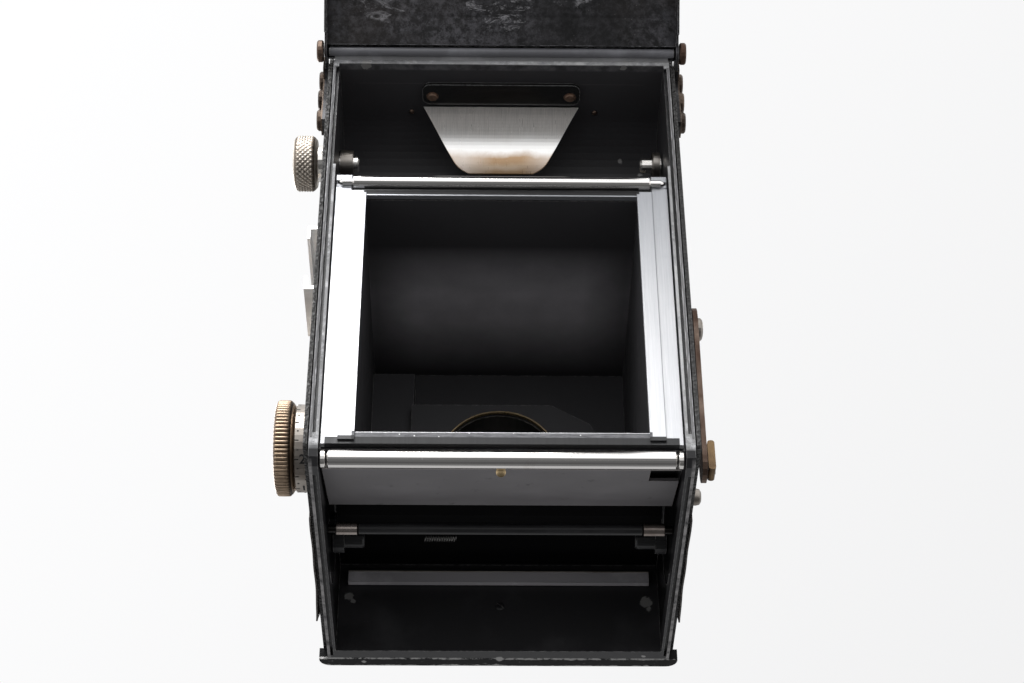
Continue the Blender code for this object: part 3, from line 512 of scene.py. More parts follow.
def door_material():
    """The door: enamel outside; inside, dusty flat black with a rubbed border and pale scuffs."""
    g = Graph("door_enamel")
    swing = door_swing()
    up = swing.to_3x3() @ Vector((0, 0, 1))
    out = swing.to_3x3() @ Vector((0, 1, 0))
    rise = g.along(up, swing @ at(0, DOOR_INSIDE, 0))
    face = g.along(out, swing @ at(0, DOOR_INSIDE, 0))
    x = g.side()
    inside = g.ramp(face, 1.6, 0.9)
    cloud = g.noise(55, 7, 0.68)
    grain = g.patches(0.44, 0.62, 620, 7, 0.8)
    g.base = g.mix(g.ramp(cloud, 0.4, 0.68), (0.004, 0.004, 0.0044), (0.020, 0.019, 0.0205))
    haze = g.times(g.patches(0.40, 0.62, 38, 5, 0.7), inside)
    g.coat(g.times(grain, inside, g.ramp(haze, 0, 1, 0.25, 1.0), 0.8), (0.10, 0.097, 0.107))
    brown = g.patches(0.46, 0.66, 32, 5, 0.6)
    g.coat(g.times(brown, inside, 0.6), (0.026, 0.021, 0.018))
    border = g.times(inside, g.most(g.band(x, 33.2, 33.9, 0.35), g.band(rise, 99.2, 100.0, 0.4)))
    g.coat(g.times(border, 0.25), (0.007, 0.007, 0.008))
    rub = g.times(inside, g.band(x, 34.6, 37.6, 0.5), g.patches(0.45, 0.62, 300, 6, 0.7))
    g.coat(g.times(rub, 0.6), (0.062, 0.062, 0.07))
    scuff = g.patches(0.54, 0.64, 210, 9, 0.78, stretch=(1, 2.2, 2.2), distortion=0.8)
    patches = ((0.5, 97, 6.5, 1.0), (-15, 92.5, 5.5, 1.0), (26, 93, 8, 0.6), (-10, 84, 7, 1.0))
    patch = g.most(*(
        g.times(g.near(swing @ at(px, DOOR_INSIDE, height), radius, 9, 120), share)
        for px, height, radius, share in patches
    ))
    g.coat(g.times(scuff, patch, inside, 0.95), (0.30, 0.295, 0.31))
    flecks = g.dust(0.8, 0.5, 0.62)
    g.coat(flecks, (0.19, 0.18, 0.17))
    chips = g.worn_edge(0.3)
    g.coat(chips, (0.36, 0.36, 0.37))
    g.set(Base_Color=g.base, Metallic=g.times(chips, 0.6))
    g.set(Roughness=g.ramp(cloud, 0.3, 0.7, 0.42, 0.62), Specular_IOR_Level=g.ramp(inside, 0, 1, 0.4, 0.22))
    wrinkle = g.bump(g.noise(480, 7, 0.68), 0.14, 0.6)
    step = g.bump(g.less(1.0, border), 0.25, 0.25, wrinkle)
    g.relief(g.less(0.0, chips), 0.05, 0.6, step)
    return g.material


def spring_plate_material():
    """Glossy black plate with a rubbed rim and two copper-brown rivet heads."""
    g = Graph("spring_plate_enamel")
    rivets = g.most(*(g.near(at(x, 7.4, 103.4), 1.35) for x in (15.1, -15.1)))
    g.base = g.mix(g.patches(0.45, 0.7, 120, 5), (0.007, 0.007, 0.007), (0.018, 0.017, 0.016))
    rim = g.worn_edge(0.3, 0.05, 0.2, (0.3, 0.5))
    g.coat(rim, (0.30, 0.30, 0.30))
    copper = g.mix(g.patches(0.35, 0.65, 900, 5, 0.7), (0.20, 0.12, 0.085), (0.34, 0.23, 0.17))
    g.coat(rivets, copper)
    g.set(Base_Color=g.base, Metallic=g.times(rivets, 0.8))
    g.set(Roughness=g.ramp(rivets, 0, 1, 0.24, 0.5))
    g.relief(g.noise(1600, 4, 0.6), 0.03, 0.4)
    return g.material


def hinge_plate_material():
    """Blackened plate worn to grey, with browned screw heads standing out of it."""
    g = Graph("hinge_plate_finish")
    heads = g.ramp(g.side(), 38.45, 38.6)
    worn = g.patches(0.42, 0.66, 260, 6, 0.68)
    plate = g.mix(worn, (0.018, 0.018, 0.019), (0.12, 0.12, 0.125))
    head = g.mix(worn, (0.05, 0.036, 0.028), (0.17, 0.125, 0.095))
    g.base = g.mix(heads, plate, head)
    g.coat(g.worn_edge(0.3, 0.04, 0.2), (0.30, 0.26, 0.22))
    g.set(Base_Color=g.base, Roughness=g.ramp(worn, 0, 1, 0.36, 0.52))
    g.set(Metallic=0.75)
    g.relief(g.noise(900, 5, 0.65), 0.05, 0.6)
    return g.material


def panel_material():
    """Satin grey film panel with faint rubs along the film's path."""
    g = Graph("satin_film_panel")
    rub = g.patches(0.45, 0.7, 180, 6, 0.66, stretch=(0.5, 1, 1))
    g.base = g.mix(rub, (0.118, 0.112, 0.117), (0.148, 0.141, 0.147))
    stain = g.times(g.patches(0.62, 0.7, 260, 5, 0.65), 0.6)
    g.coat(stain, (0.035, 0.033, 0.034))
    lip = g.ramp(g.depth(), 4.95, 4.8)
    chips = g.most(g.worn_edge(0.25, 0.05, 0.25, (0.3, 0.5)), g.times(lip, 0.9))
    g.coat(chips, (0.40, 0.375, 0.36))
    g.set(Base_Color=g.base, Roughness=g.ramp(rub, 0, 1, 0.5, 0.6), Metallic=g.times(chips, 0.7))
    g.relief(g.noise(1500, 4), 0.02, 0.4)
    return g.material


# Pieces

def piece(name, bm, finish, body, angle=35):
    """Turns a bmesh in world coordinates into a shown piece that rides on a body of the model."""
    bmesh.ops.recalc_face_normals(bm, faces=bm.faces)
    mesh = bpy.data.meshes.new(name)
    bm.to_mesh(mesh)
    bm.free()
    mesh.shade_smooth()
    mesh.set_sharp_from_angle(angle=math.radians(angle))
    mesh.materials.append(finish)
    obj = bpy.data.objects.new(name, mesh)
    link(obj)
    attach(obj, body)
    return obj


def merged(shapes):
    """Several bmeshes as one."""
    whole = bmesh.new()
    for bm in shapes:
        mesh = bpy.data.meshes.new("joined")
        bm.to_mesh(mesh)
        bm.free()
        whole.from_mesh(mesh)
        bpy.data.meshes.remove(mesh)
    return whole


def bridge(bm, rows, closed=True):
    """Faces between rows of vertices. Closed rows run all the way round and are capped at both ends."""
    count = len(rows[0])
    for a, b in zip(rows, rows[1:]):
        for i in range(count if closed else count - 1):
            j = (i + 1) % count
            bm.faces.new((a[i], a[j], b[j], b[i]))
    if closed:
        bm.faces.new(rows[0])
        bm.faces.new(rows[-1])


def frame_of(axis):
    """Two directions square to an axis, the first as near to +Z as it can be."""
    axis = axis.normalized()
    side = Vector((0, 0, 1)) if abs(axis.z) < 0.9 else Vector((0, 1, 0))
    first = (side - axis * side.dot(axis)).normalized()
    return first, axis.cross(first)


def turned(profile, centre, axis, segments=32, shape=None):
    """An open profile of (distance, radius) in millimetres turned round an axis through a point.

    shape(i, k) gives an extra radius at profile point k and step i round the axis.
    """
    first, second = frame_of(axis)
    bm = bmesh.new()
    rows = []
    for k, (t, r) in enumerate(profile):
        row = []
        for i in range(segments if r > 0 else 1):
            turn = 2 * math.pi * i / segments
            reach = (r + (shape(i, k) if shape and r > 0 else 0)) * MM
            spread = first * math.cos(turn) * reach + second * math.sin(turn) * reach
            row.append(bm.verts.new(centre + axis * t * MM + spread))
        rows.append(row)
    for a, b in zip(rows, rows[1:]):
        for i in range(segments):
            j = (i + 1) % segments
            corners = [a[i % len(a)], a[j % len(a)], b[j % len(b)], b[i % len(b)]]
            corners = list(dict.fromkeys(corners))
            if len(corners) > 2:
                bm.faces.new(corners)
    return bm


def slab(x, d, z):
    """A box between pairs of millimetre values: sideways, depth and height."""
    bm = bmesh.new()
    bmesh.ops.create_cube(bm, size=1)
    low, high = at(x[0], d[1], z[0]), at(x[1], d[0], z[1])
    for vert in bm.verts:
        vert.co = Vector([low[i] + (high[i] - low[i]) * (vert.co[i] + 0.5) for i in range(3)])
    bmesh.ops.bevel(bm, geom=bm.edges, offset=0.08 * MM, segments=1, affect="EDGES")
    return bm


def screw(centre, axis, radius, slot_turn, rise):
    """A slotted screw head: a low dome in two halves with the slot's floor between them."""
    first, second = frame_of(axis)
    first, second = (
        first * math.cos(slot_turn) + second * math.sin(slot_turn),
        second * math.cos(slot_turn) - first * math.sin(slot_turn),
    )
    bm = bmesh.new()
    half_slot = 0.13 * radius
    for side in (-1, 1):
        rows = []
        for share, lift in ((1.0, -0.3), (1.0, 0.45), (0.9, 0.8), (0.6, 0.97), (0.0, 1.0)):
            row = []
            for i in range(13):
                turn = math.pi * i / 12
                across = max(math.sin(turn) * radius * share, half_slot)
                spread = second * side * across + first * math.cos(turn) * radius * share
                row.append(bm.verts.new(centre + (spread + axis * rise * lift) * MM))
            rows.append(row)
        bridge(bm, rows, closed=False)
        for a, b in zip(rows, rows[1:]):
            if (a[0].co - b[0].co).length > 1e-7:
                bm.faces.new((a[0], b[0], b[-1], a[-1]))
    inner = radius * 0.96
    floor = turned([(-0.3 * rise, inner), (0.3 * rise, inner), (0.3 * rise, 0)], centre, axis, 20)
    bmesh.ops.remove_doubles(bm, verts=bm.verts, dist=1e-7)
    return merged([bm, floor])


def dome(centre, axis, radius, rise):
    """A plain rivet head."""
    profile = [(-0.4, radius)] + [
        (rise * math.sin(turn), radius * math.cos(turn)) for turn in (0.0, 0.4, 0.8, 1.2)
    ] + [(rise, 0)]
    return turned(profile, centre, axis, 20)


def wire(points, radius):
    """A round wire along a list of points in metres."""
    bm = bmesh.new()
    rows = []
    for i, point in enumerate(points):
        ahead = points[min(i + 1, len(points) - 1)] - points[max(i - 1, 0)]
        first, second = frame_of(ahead.normalized())
        rows.append([
            bm.verts.new(point + (first * math.cos(t) + second * math.sin(t)) * radius * MM)
            for t in (2 * math.pi * k / WIRE_SIDES for k in range(WIRE_SIDES))
        ])
    bridge(bm, rows)
    return bm


X_AXIS = Vector((1, 0, 0))
REAR = Vector((0, 1, 0))
FRONT = Vector((0, -1, 0))
DOWN = Vector((0, 0, -1))
UP = Vector((0, 0, 1))


def saw(value):
    """A wave of period 1 that rises from 0 to 1 and falls back in straight lines."""
    return 1 - abs(2 * (value % 1) - 1)


def takeup_knob(m):
    """The pull-out knob, cut with a diamond knurl between two plain chamfers."""
    rim = [41.0 + 0.2 * i for i in range(17)]
    profile = [(40, 0), (40, 5.2), (40.5, 5.75)] + [(t, 5.82) for t in rim] + [
        (44.7, 5.6), (45.05, 5.1), (45.05, 3.7), (44.8, 3.4), (44.8, 0)]
    segments, teeth = 216, 36

    def knurl(i, k):
        t = profile[k][0]
        if not 3 <= k < 3 + len(rim):
            return 0
        turn = teeth * i / segments
        return 0.34 * min(saw(turn + 0.9 * t), saw(turn - 0.9 * t))

    bm = turned(profile, at(*TAKEUP), X_AXIS, segments, knurl)
    knob = piece("takeup_knob_knurled", bm, m["knurled_nickel"], "takeup_pull_knob", 80)
    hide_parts("takeup_knob")


def focus_knob(m):
    """The focusing knob's rim with straight grooves cut across it."""
    rim = [44.2, 44.35, 44.6, 45.4, 46.2, 46.9, 47.15, 47.3]
    ridge = [0.0, 0.2, 0.34, 0.36, 0.36, 0.34, 0.2, 0.0]
    profile = [(43.5, 0), (43.5, 9.0), (44.0, 9.75)] + [(t, 9.9) for t in rim] + [
        (47.5, 9.55), (47.5, 7.2), (47.2, 6.6), (47.0, 6.2), (47.0, 3.2), (47.25, 2.9), (47.25, 0)]
    segments, ridges = 432, 72

    def groove(i, k):
        if not 3 <= k < 3 + len(rim):
            return 0
        return ridge[k - 3] * min(1.0, 1.7 * saw(ridges * i / segments))

    bm = turned(profile, at(*FOCUS), X_AXIS, segments, groove)
    knob = piece("focus_knob_grooved", bm, m["grooved_bronze"], "focusing_knob", 60)
    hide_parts("focus_knob")
    middle = screw(at(47.2, *FOCUS[1:]), X_AXIS, 1.7, 0.7, 0.25)
    piece("focus_knob_screw", middle, m["worn_bronze"], "focusing_knob")


def figure(text, size):
    """Flat outlines of a short number, centred, as a bmesh in the XY plane in millimetres."""
    curve = bpy.data.curves.new("figure", "FONT")
    curve.body = text
    curve.size = size
    curve.align_x = "CENTER"
    curve.align_y = "CENTER"
    curve.resolution_u = 3
    curve.offset = 0.035 * size / 2
    obj = bpy.data.objects.new("figure", curve)
    link(obj)
    mesh = obj.to_mesh()
    bm = bmesh.new()
    bm.from_mesh(mesh)
    obj.to_mesh_clear()
    bpy.data.objects.remove(obj)
    bpy.data.curves.remove(curve)
    bmesh.ops.subdivide_edges(bm, edges=[e for e in bm.edges if e.calc_length() > 0.5], cuts=1)
    return bm


def focus_scale(m):
    """Distance numbers and marks round the drum, engraved and filled with black."""
    radius = 9.44
    line_half_angle = 0.012
    numbers = ("1", "1.2", "1.5", "2", "2.5", "3", "4", "5", "6", "8", "10", "15", "30")

    def on_drum(x, angle):
        return at(x, *FOCUS[1:]) + Vector((0, math.cos(angle), math.sin(angle))) * radius * MM

    def scale_angle(i):
        return math.radians(-SCALE_HALF_TURN + 2 * SCALE_HALF_TURN * i / (len(numbers) - 1))

    marks = []
    for i, text in enumerate(numbers):
        bm = figure(text, 2.9)
        for vert in bm.verts:
            vert.co = on_drum(40.3 - vert.co.x, scale_angle(i) + vert.co.y / radius)
        marks.append(bm)
        for half in (0, 0.5):
            angle = scale_angle(i + half)
            low, high = angle - line_half_angle, angle + line_half_angle
            corners = [(42.2, low), (43.1 - half, low), (43.1 - half, high), (42.2, high)]
            bm = bmesh.new()
            bm.faces.new([bm.verts.new(on_drum(*corner)) for corner in corners])
            marks.append(bm)
    piece("focus_scale_numbers", merged(marks), m["engraved_ink"], "focusing_knob")


def spool_chamber_trim(m):
    """Rivets in the chamber's roof and the collar round the left spool pin."""
    heads = [dome(at(x, 13.2, 104.85), DOWN, 0.62, 0.5) for x in (19.8, -20.8)]
    piece("chamber_roof_rivets", merged(heads), m["browned_steel"], "camera_body")
    collar = [(33.0, 2.7), (33.2, 3.0), (34.6, 3.0)]
    axis = at(*TAKEUP)
    flare = [(32.2, 2.0), (32.2, 2.9), (34.9, 3.1)]
    rings = [turned(flare, axis, X_AXIS), turned(collar, axis, -X_AXIS)]
    piece("spool_pin_collars", merged(rings), m["dulled_nickel"], "camera_body")


def feed_chamber_trim(m):
    """The small tension spring, a screw in the front wall and the rubbed arcs round the spool pins."""
    turns, steps = 13, 14
    points = []
    for i in range(turns * steps + 1):
        angle = 2 * math.pi * i / steps
        x = 9.2 + 6.8 * i / (turns * steps)
        points.append(at(x, 56.7 + 0.62 * math.cos(angle), 20.35 + 0.62 * math.sin(angle)))
    piece("tension_spring", wire(points, 0.13), m["spring_steel"], "camera_body")
    wall_screw = screw(at(-0.3, 69.0, 11.1), REAR, 0.95, 0.9, 0.25)
    piece("front_wall_screw", wall_screw, m["black_enamel"], "camera_body")
    arcs = []
    for side in (-1, 1):
        points = [
            at(side * 34.55, 43.5 + 9.2 * math.cos(a), 11.6 + 9.2 * math.sin(a))
            for a in (math.radians(-100 + 10 * k) for k in range(27))
        ]
        arcs.append(wire(points, 0.16))
    piece("feed_wall_arcs", merged(arcs), m["black_enamel"], "camera_body")
    bead = slab((-32.6, 32.6), (67.15, 67.45), (18.72, 19.0))
    piece("pressure_strip_bead", bead, m["dulled_nickel"], "camera_body")
    profile = [(-0.3, 0.95), (0.15, 0.95), (0.3, 0.7), (0.3, 0)]
    nib = turned(profile, at(0.2, 3.9, 0.75), (REAR + DOWN * 0.6).normalized(), 20)
    piece("roller_stop_pin", nib, m["aged_brass"], "camera_body")


def wall_trim(m):
    """The side leather's bottom edge, lifted away from the casting and ending in a small curl."""
    strips = []
    for side, most in ((1, 0.75), (-1, 0.45)):
        bm = bmesh.new()
        rows = []
        for k in range(25):
            share = k / 24
            depth = 22 + 38.5 * share
            lift = most * (0.25 * share + 0.75 * share ** 6) + 0.05 * math.sin(17 * share)
            lifts = ((0.4, 4.2), (1.0, 2.7), (1.1, 2.1))
            outer = [(37.58, 6.0)] + [(37.62 + part * lift, z) for part, z in lifts]
            inner = [(x - 0.35, z) for x, z in outer[::-1]]
            rows.append([bm.verts.new(at(side * x, depth, z)) for x, z in outer + inner])
        bridge(bm, rows)
        strips.append(bm)
    piece("lifted_leather_edges", merged(strips), m["lifted_hide"], "camera_body")


def exterior_trim(m):
    """Screws and small fittings on the sides, front and top."""
    heads = [screw(at(38.7, 19.3, z), X_AXIS, 1.2, 0.3 * z, 0.3) for z in (57.6, 63.6)]
    heads.append(screw(at(-37.7, 22, 7.7), -X_AXIS, 1.7, 0.4, 1.9))
    piece("side_screws", merged(heads), m["dulled_nickel"], "camera_body")
    heads = []
    for x in (-30, 30):
        for z in (10, 57.5, 104):
            heads.append(screw(at(x, 77.4, z), FRONT, 1.1, 0.1 * z + x, 0.3))
    piece("lens_board_screws", merged(heads), m["warm_nickel"], "lens_standard")
    axis_screw = screw(at(*CRANK), -X_AXIS, 1.8, 0.9, 0.2)
    piece("crank_screw", axis_screw, m["warm_nickel"], "winding_crank")
    pin = turned([(0, 0), (0, 0.6), (1.0, 0.7)], at(*HANDLE_PIVOT), X_AXIS, 16)
    piece("handle_pivot_pin", pin, m["warm_nickel"], "folding_handle")
    for side, word in ((1, "left"), (-1, "right")):
        hub = screw(at(side * 39.85, HINGE_DEPTH, HINGE_Z), X_AXIS * side, 1.6, 0.5, 0.15)
        piece(f"{word}_hinge_screw", hub, m["browned_steel"], "film_door")


def lens_trim(m):
    """Threads, retaining rings, the shutter's leaves and its scale rim."""
    def ring(name, profile, z, finish, segments=LENS_SEGMENTS):
        """A ring about a lens axis, from a profile of (depth, radius)."""
        shape = turned([(t - FILM_Y, r) for t, r in profile], Vector((0, 0, z * MM)), FRONT, segments)
        piece(name, shape, m[finish], "lens_standard")

    step = 0.35
    lenses = (("viewing", VIEWING_Z, 13.4, 86.6, 89.4), ("taking", TAKING_Z, 12.4, 88.6, 90.4))
    for name, z, radius, near, far in lenses:
        points = [(near, radius - 0.3)]
        while near < far:
            points += [(near + step / 2, radius), (near + step, radius - 0.28)]
            near += step
        ring(f"{name}_filter_thread", points, z, "black_enamel")
    for name, z, radius, d in (("viewing", VIEWING_Z, 12.0, 85.2), ("taking", TAKING_Z, 10.6, 87.0)):
        steps = ((0, 0.35), (0.5, 0.3), (0.5, -1.3), (-0.5, -1.5))
        ring(f"{name}_retaining_ring", [(d + t, radius + r) for t, r in steps], z, "black_enamel")
    leaves = []
    for k in range(5):
        turn = 2 * math.pi * k / 5
        bm = bmesh.new()
        outline = [(0.4, -1.0), (11.6, -2.6), (12.0, 3.5), (9.0, 7.4), (3.0, 3.0)]
        c, s = math.cos(turn), math.sin(turn)
        spun = [(r * c - t * s, r * s + t * c) for r, t in outline]
        lift = 80.62 + 0.07 * k
        bm.faces.new([bm.verts.new(at(x, lift, TAKING_Z + z)) for x, z in spun])
        extruded = bmesh.ops.extrude_face_region(bm, geom=list(bm.faces))
        moved = [v for v in extruded["geom"] if isinstance(v, bmesh.types.BMVert)]
        bmesh.ops.translate(bm, verts=moved, vec=FRONT * 0.05 * MM)
        leaves.append(bm)
    piece("shutter_leaves", merged(leaves), m["shutter_leaf_black"], "lens_standard")
    rim = [(83.6, 22.2), (83.75, 22.0), (83.75, 17.4), (83.6, 17.2)]
    ring("shutter_scale_rim", rim, TAKING_Z, "warm_nickel", 72)
    marks = []
    apertures = ("3.5", "4", "5.6", "8", "11", "16", "22")
    speeds = ("300", "100", "50", "25", "10", "5", "2", "1")
    for numbers, middle in ((apertures, 35), (speeds, 215)):
        for i, text in enumerate(numbers):
            turn = math.radians(middle - 13 * (i - (len(numbers) - 1) / 2))
            bm = figure(text, 2.3)
            for vert in bm.verts:
                u, v = vert.co.x, vert.co.y
                angle = turn - u / 19.6
                reach = 19.7 + v
                vert.co = at(math.cos(angle) * reach, 83.8, TAKING_Z + math.sin(angle) * reach)
            marks.append(bm)
    piece("shutter_scale_numbers", merged(marks), m["engraved_ink"], "lens_standard")


def hood_trim(m):
    """The lid's pressed panel, its hinge knuckles and the thumb catch at its rear edge."""
    bead = (122.35, 122.85)
    bars = [slab((-29, 29), d, bead) for d in ((12, 12.8), (62, 62.8))]
    bars += [slab(x, (12, 62.8), bead) for x in ((-29, -28.2), (28.2, 29))]
    piece("hood_lid_bead", merged(bars), m["black_enamel"], "hood_lid_body")
    panel = slab((-27.4, 27.4), (13.6, 61.2), (122.4, 122.62))
    piece("hood_lid_covering", panel, m["pebbled_leather"], "hood_lid_body")
    knuckles = [
        turned([(x - 3, 0), (x - 3, 0.85), (x + 3, 0.85), (x + 3, 0)], at(0, 71.8, 122), X_AXIS, 16)
        for x in (-26, -9, 9, 26)
    ]
    piece("hood_lid_knuckles", merged(knuckles), m["warm_nickel"], "hood_lid_body")
    piece("hood_lid_catch", slab((-5, 5), (3.75, 4.1), (118.6, 121.2)), m["warm_nickel"], "hood_lid_body")


def door_trim(m):
    """The table's ruled lines, the bush's thread, foot and table screws, and the catch's milled edge."""
    swing = door_swing()

    def placed(bm):
        bmesh.ops.transform(bm, matrix=swing, verts=bm.verts)
        return bm

    rule_depth = (-7.56, -7.48)
    lines = [slab((-23, 23), rule_depth, (z - 0.12, z + 0.12)) for z in range(34, 71, 6)]
    lines += [slab((x - 0.12, x + 0.12), rule_depth, (30, 76)) for x in range(-13, 18, 10)]
    piece("exposure_table_rules", placed(merged(lines)), m["engraved_ink"], "film_door")
    heads = [screw(at(x, -7.5, z), REAR, 0.9, 0.2 * z, 0.2) for x in (-23.4, 23.4) for z in (30, 76)]
    heads += [screw(at(x, d, -5.0), DOWN, 1.5, 0.6 * d, 0.2) for x in (-31, 31) for d in (5, 60)]
    piece("door_screws", placed(merged(heads)), m["warm_nickel"], "film_door")
    thread = [(-0.4, 3.2)]
    for k in range(6):
        thread += [(0.15 + 0.3 * k - 1.4, 3.12), (0.3 + 0.3 * k - 1.4, 2.85)]
    shape = turned(thread, at(0, 36, -4.6), UP, 48)
    piece("tripod_bush_thread", placed(shape), m["warm_nickel"], "film_door")
    starts = [-10.25 + 0.8 * k for k in range(26)]
    milled = [slab((x, x + 0.5), (74.35, 74.75), (-4.85, -3.65)) for x in starts]
    piece("latch_milling", placed(merged(milled)), m["warm_nickel"], "door_catch")
    studs = [dome(at(x, -0.9, z), FRONT, 1.2, 0.25) for x in (-20, 20) for z in (20, 56)]
    piece("pressure_plate_rivets", placed(merged(studs)), m["warm_nickel"], "door_pressure_plate")


def rim_trim(m):
    """Rubbed ridge along the rear edge of each side wall and the light seal groove beside it."""
    rng = random.Random(7)
    for side, word in ((1, "left"), (-1, "right")):
        points = []
        for k in range(64):
            z = 5 + 99 * k / 63
            points.append(at(side * (36.1 + rng.uniform(-0.12, 0.12)), -1.46 + rng.uniform(-0.05, 0.05), z))
        piece(f"{word}_rim_ridge", wire(points, 0.22), m["rubbed_rim"], "camera_body")
    bm = bmesh.new()
    section = ((-2.13, 106.53), (-1.52, 105.92), (-1.42, 106.03), (-2.03, 106.64))
    bridge(bm, [[bm.verts.new(at(x, d, z)) for d, z in section] for x in (-36.2, 36.2)])
    piece("hinge_leaf_edge", bm, m["rubbed_edge"], "camera_body")


# The model's nodes that take each finish
PAINTED = {
    "casting_enamel": "body_casting",
    "black_enamel": (
        "hood_frame hood_lid hood_left_flap hood_right_flap hood_rear_flap lens_board "
        "shutter_housing feed_guide_rod rear_lens_tube feed_left_pin feed_right_pin"
    ),
    "rubbed_hinge_enamel": "door_hinge_barrel",
    "spring_plate_enamel": "takeup_spring_plate",
    "door_enamel": "door_shell pressure_plate",
    "pebbled_leather": "left_side_leather right_side_leather door_leather",
    "bare_aluminium": "film_gate",
    "satin_film_panel": "lower_film_panel",
    "satin_strip": "feed_pressure_strip",
    "roller_nickel": "upper_film_roller lower_film_roller",
    "bracket_chrome": "left_side_bracket",
    "bright_nickel": (
        "lower_roller_left_bearing lower_roller_right_bearing takeup_left_pin takeup_drive_pin"
    ),
    "warm_nickel": (
        "magnifier_frame viewing_lens_barrel taking_lens_barrel shutter_blades aperture_lever "
        "speed_lever release_lever pressure_plate_spring exposure_table_plate tripod_bush "
        "door_latch"
    ),
    "dulled_nickel": "crank_hub",
    "browned_steel": "crank_arm left_hinge_stud right_hinge_stud",
    "capped_nickel": "feed_guide_left_cap feed_guide_right_cap",
    "drum_nickel": "focus_scale_drum",
    "leaf_nickel": "takeup_leaf_spring",
    "worn_bronze": "focus_knob takeup_knob",
    "hinge_plate_finish": "left_hinge_plate right_hinge_plate",
    "aged_brass": "rear_lens_ring",
    "handled_brass": "crank_handle",
    "silvered_glass": "viewing_mirror",
    "ground_screen": "ground_glass",
    "coated_glass": "magnifier_lens viewing_lens taking_lens",
}


def finish_nodes(m):
    for finish, names in PAINTED.items():
        for name in names.split():
            data = NODES[name].data
            data.materials.clear()
            data.materials.append(m[finish])


# Black finishes, by how they differ from plain stove enamel
ENAMELS = {
    "black_enamel": dict(),
    "rubbed_hinge_enamel": dict(tint=(0.11, 0.11, 0.12), edge=0.8, spread=(0.34, 0.56)),
    "shutter_leaf_black": dict(gloss=0.28, dust=0.1, wear=0.2),
    "engraved_ink": dict(gloss=0.6, dust=0.1, wear=0.0),
    "rubbed_rim": dict(gloss=0.5, tint=(0.13, 0.13, 0.135), spread=(0.3, 0.5)),
    "rubbed_edge": dict(gloss=0.5, tint=(0.15, 0.15, 0.155), spread=(0.3, 0.5)),
    "satin_strip": dict(gloss=0.42, tint=(0.30, 0.29, 0.305), edge=0.4, spread=(0.30, 0.46)),
}

# Metals: light colour, tarnished colour, roughness range, direction of the polish, spread of the tarnish
METALS = {
    "roller_nickel": ((0.95, 0.925, 0.90), (0.76, 0.70, 0.64), (0.08, 0.18), (1, 60, 60), (0.6, 0.85)),
    "bright_nickel": ((0.93, 0.90, 0.86), (0.62, 0.56, 0.49), (0.2, 0.36), None, (0.52, 0.75)),
    "warm_nickel": ((0.66, 0.63, 0.57), (0.42, 0.35, 0.27), (0.22, 0.42), None, (0.52, 0.75)),
    "dulled_nickel": ((0.42, 0.39, 0.36), (0.20, 0.17, 0.14), (0.28, 0.46), None, (0.42, 0.68)),
    "capped_nickel": ((0.42, 0.37, 0.34), (0.22, 0.18, 0.16), (0.24, 0.4), (30, 2, 2), (0.42, 0.68)),
    "drum_nickel": ((0.46, 0.42, 0.38), (0.26, 0.22, 0.19), (0.34, 0.5), (1, 20, 20), (0.46, 0.68)),
    "bracket_chrome": ((0.88, 0.88, 0.88), (0.70, 0.70, 0.69), (0.3, 0.45), (2, 20, 20)),
    "spring_steel": ((0.34, 0.33, 0.32), (0.2, 0.18, 0.16), (0.3, 0.45)),
    "worn_bronze": ((0.36, 0.27, 0.18), (0.18, 0.13, 0.09), (0.3, 0.5), None, (0.42, 0.7)),
    "aged_brass": ((0.62, 0.47, 0.27), (0.38, 0.27, 0.15), (0.26, 0.42), None, (0.45, 0.75)),
    "handled_brass": ((0.19, 0.128, 0.07), (0.09, 0.06, 0.04), (0.3, 0.48), None, (0.42, 0.62)),
    "browned_steel": ((0.20, 0.15, 0.12), (0.10, 0.06, 0.045), (0.4, 0.6), None, (0.4, 0.6)),
}
METAL_EXTRAS = {"capped_nickel": dict(dirty_beyond=32.6), "handled_brass": dict(edge=(0.10, 0.07, 0.05))}

# Knurled knobs: crest and valley colours, the radii in millimetres of valley and crest, and the axis
KNURLS = {
    "knurled_nickel": ((0.97, 0.89, 0.79), (0.22, 0.18, 0.145), 5.80, 6.10, TAKEUP),
    "grooved_bronze": ((0.64, 0.48, 0.34), (0.085, 0.06, 0.045), 9.88, 10.2, FOCUS),
}


def all_materials():
    """Every finish, under the name of its material."""
    made = {
        "casting_enamel": body_material(),
        "door_enamel": door_material(),
        "pebbled_leather": leather("pebbled_leather"),
        "lifted_hide": leather("lifted_hide", (0.035, 0.027, 0.021)),
        "bare_aluminium": gate_metal("bare_aluminium"),
        "satin_film_panel": panel_material(),
        "leaf_nickel": leaf_metal("leaf_nickel"),
        "hinge_plate_finish": hinge_plate_material(),
        "spring_plate_enamel": spring_plate_material(),
        "silvered_glass": looking_glass("silvered_glass"),
        "ground_screen": ground_screen("ground_screen"),
        "coated_glass": optical_glass("coated_glass"),
    }
    made.update((name, black_paint(name, **row)) for name, row in ENAMELS.items())
    made.update((name, metal(name, *row, **METAL_EXTRAS.get(name, {}))) for name, row in METALS.items())
    made.update((name, knurled_metal(name, *row)) for name, row in KNURLS.items())
    return made


# Stage

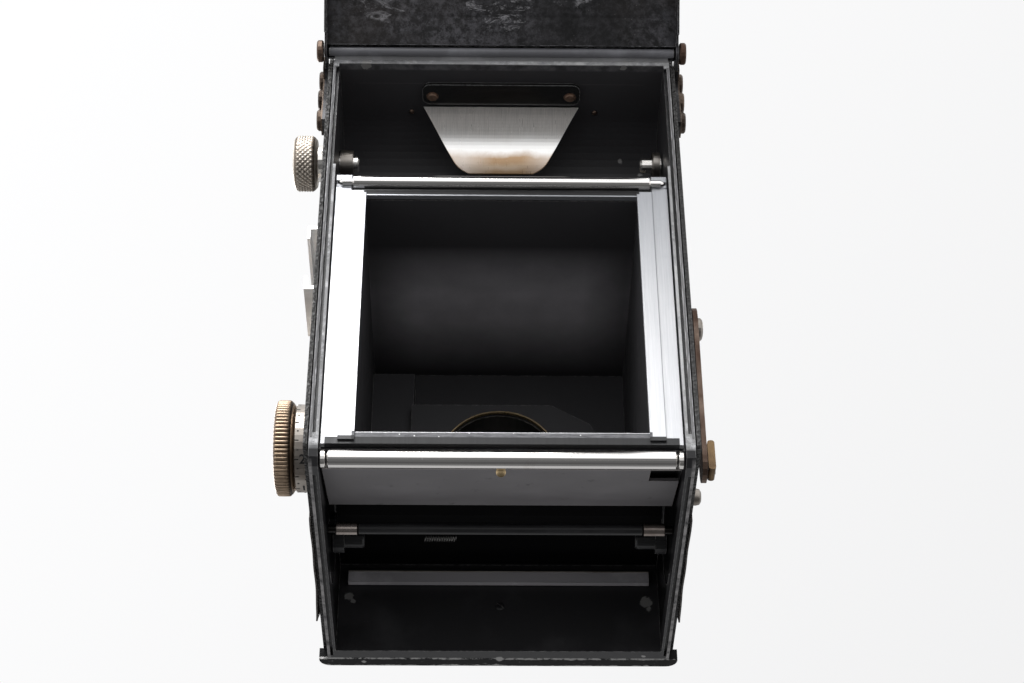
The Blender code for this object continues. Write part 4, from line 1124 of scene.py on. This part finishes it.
def make_world():
    """Soft light from above and behind, dimmer from below, and a pale gradient that only cameras see."""
    world = bpy.data.worlds.new("studio")
    bpy.context.scene.world = world
    world.use_nodes = True
    n = Nodes(world.node_tree)
    n.tree.nodes.clear()
    way = n.new("ShaderNodeTexCoord").outputs["Generated"]
    path = n.new("ShaderNodeLightPath").outputs

    def lobe(direction, low, high, a, b):
        """Carries how far a ray points along a direction from low..high to a..b."""
        return n.ramp(n.vector("DOT_PRODUCT", way, direction), low, high, a, b)

    light = lobe(Vector((0.12, 0.76, 0.64)).normalized(), -0.6, 0.95, 0.5, 1.3)
    dim = lobe(Vector((0, 0.72, -0.69)).normalized(), 0.72, 0.94, 1.0, 0.32)
    mirrored_dim = lobe(Vector((0, 0.42, -0.91)).normalized(), 0.56, 0.80, 1.0, 0.16)
    shade = lobe((0.75, 0.25, 0.6), -0.1, 0.5, 0.89, 1.03)
    kind = n.new("ShaderNodeMix", {0: path["Is Glossy Ray"], 2: dim, 3: mirrored_dim}).outputs[0]
    strength = n.times(light, kind)
    lit = n.new("ShaderNodeBackground", {"Color": (0.985, 0.99, 1), "Strength": strength}).outputs[0]
    seen = n.new("ShaderNodeBackground", {"Color": (0.995, 0.995, 1), "Strength": shade}).outputs[0]
    both = n.new("ShaderNodeMixShader", {0: path["Is Camera Ray"], 1: lit, 2: seen}).outputs[0]
    n.new("ShaderNodeOutputWorld", {0: both})
    bpy.context.scene.view_settings.view_transform = "Standard"


def make_floor():
    """A pale floor that is seen from above only, so that the view from below the base stays open."""
    half = 3.0
    mesh = bpy.data.meshes.new("floor")
    corners = [(-half, -half, 0), (half, -half, 0), (half, half, 0), (-half, half, 0)]
    mesh.from_pydata(corners, [], [(0, 1, 2, 3)])
    floor = bpy.data.objects.new("floor", mesh)
    floor.location.z = -0.05 * MM
    link(floor)
    g = Graph("pale_floor")
    g.set(Base_Color=g.mix(g.noise(30, 4), (0.80, 0.80, 0.80), (0.84, 0.84, 0.84)))
    g.set(Roughness=0.8)
    clear = g.new("ShaderNodeBsdfTransparent").outputs[0]
    behind = g.new("ShaderNodeNewGeometry").outputs["Backfacing"]
    both = g.new("ShaderNodeMixShader", {0: behind, 1: g.shader.outputs[0], 2: clear})
    g.feed(g.tree.nodes["Material Output"].inputs["Surface"], both.outputs[0])
    mesh.materials.append(g.material)
    floor.visible_diffuse = False
    floor.visible_glossy = False
    floor.visible_shadow = False


def area_light(name, place, target, size, power):
    data = bpy.data.lights.new(name, "AREA")
    data.shape = "RECTANGLE"
    data.size, data.size_y = size
    data.energy = power
    made = bpy.data.objects.new(name, data)
    made.location = place
    made.rotation_euler = (Vector(target) - Vector(place)).to_track_quat("-Z", "Y").to_euler()
    link(made)


def make_lights():
    centre = (0, 0.04, 0.07)
    area_light("key_light", (0.25, 0.75, 0.75), centre, (0.6, 0.6), 9)
    area_light("front_light", (0.5, -0.8, 0.6), centre, (0.6, 0.6), 8)


materials = all_materials()
make_camera()
make_world()
make_floor()
make_lights()
finish_nodes(materials)
for add in (
    takeup_knob, focus_knob, focus_scale, spool_chamber_trim, feed_chamber_trim, wall_trim,
    rim_trim, exterior_trim, lens_trim, hood_trim, door_trim,
):
    add(materials)
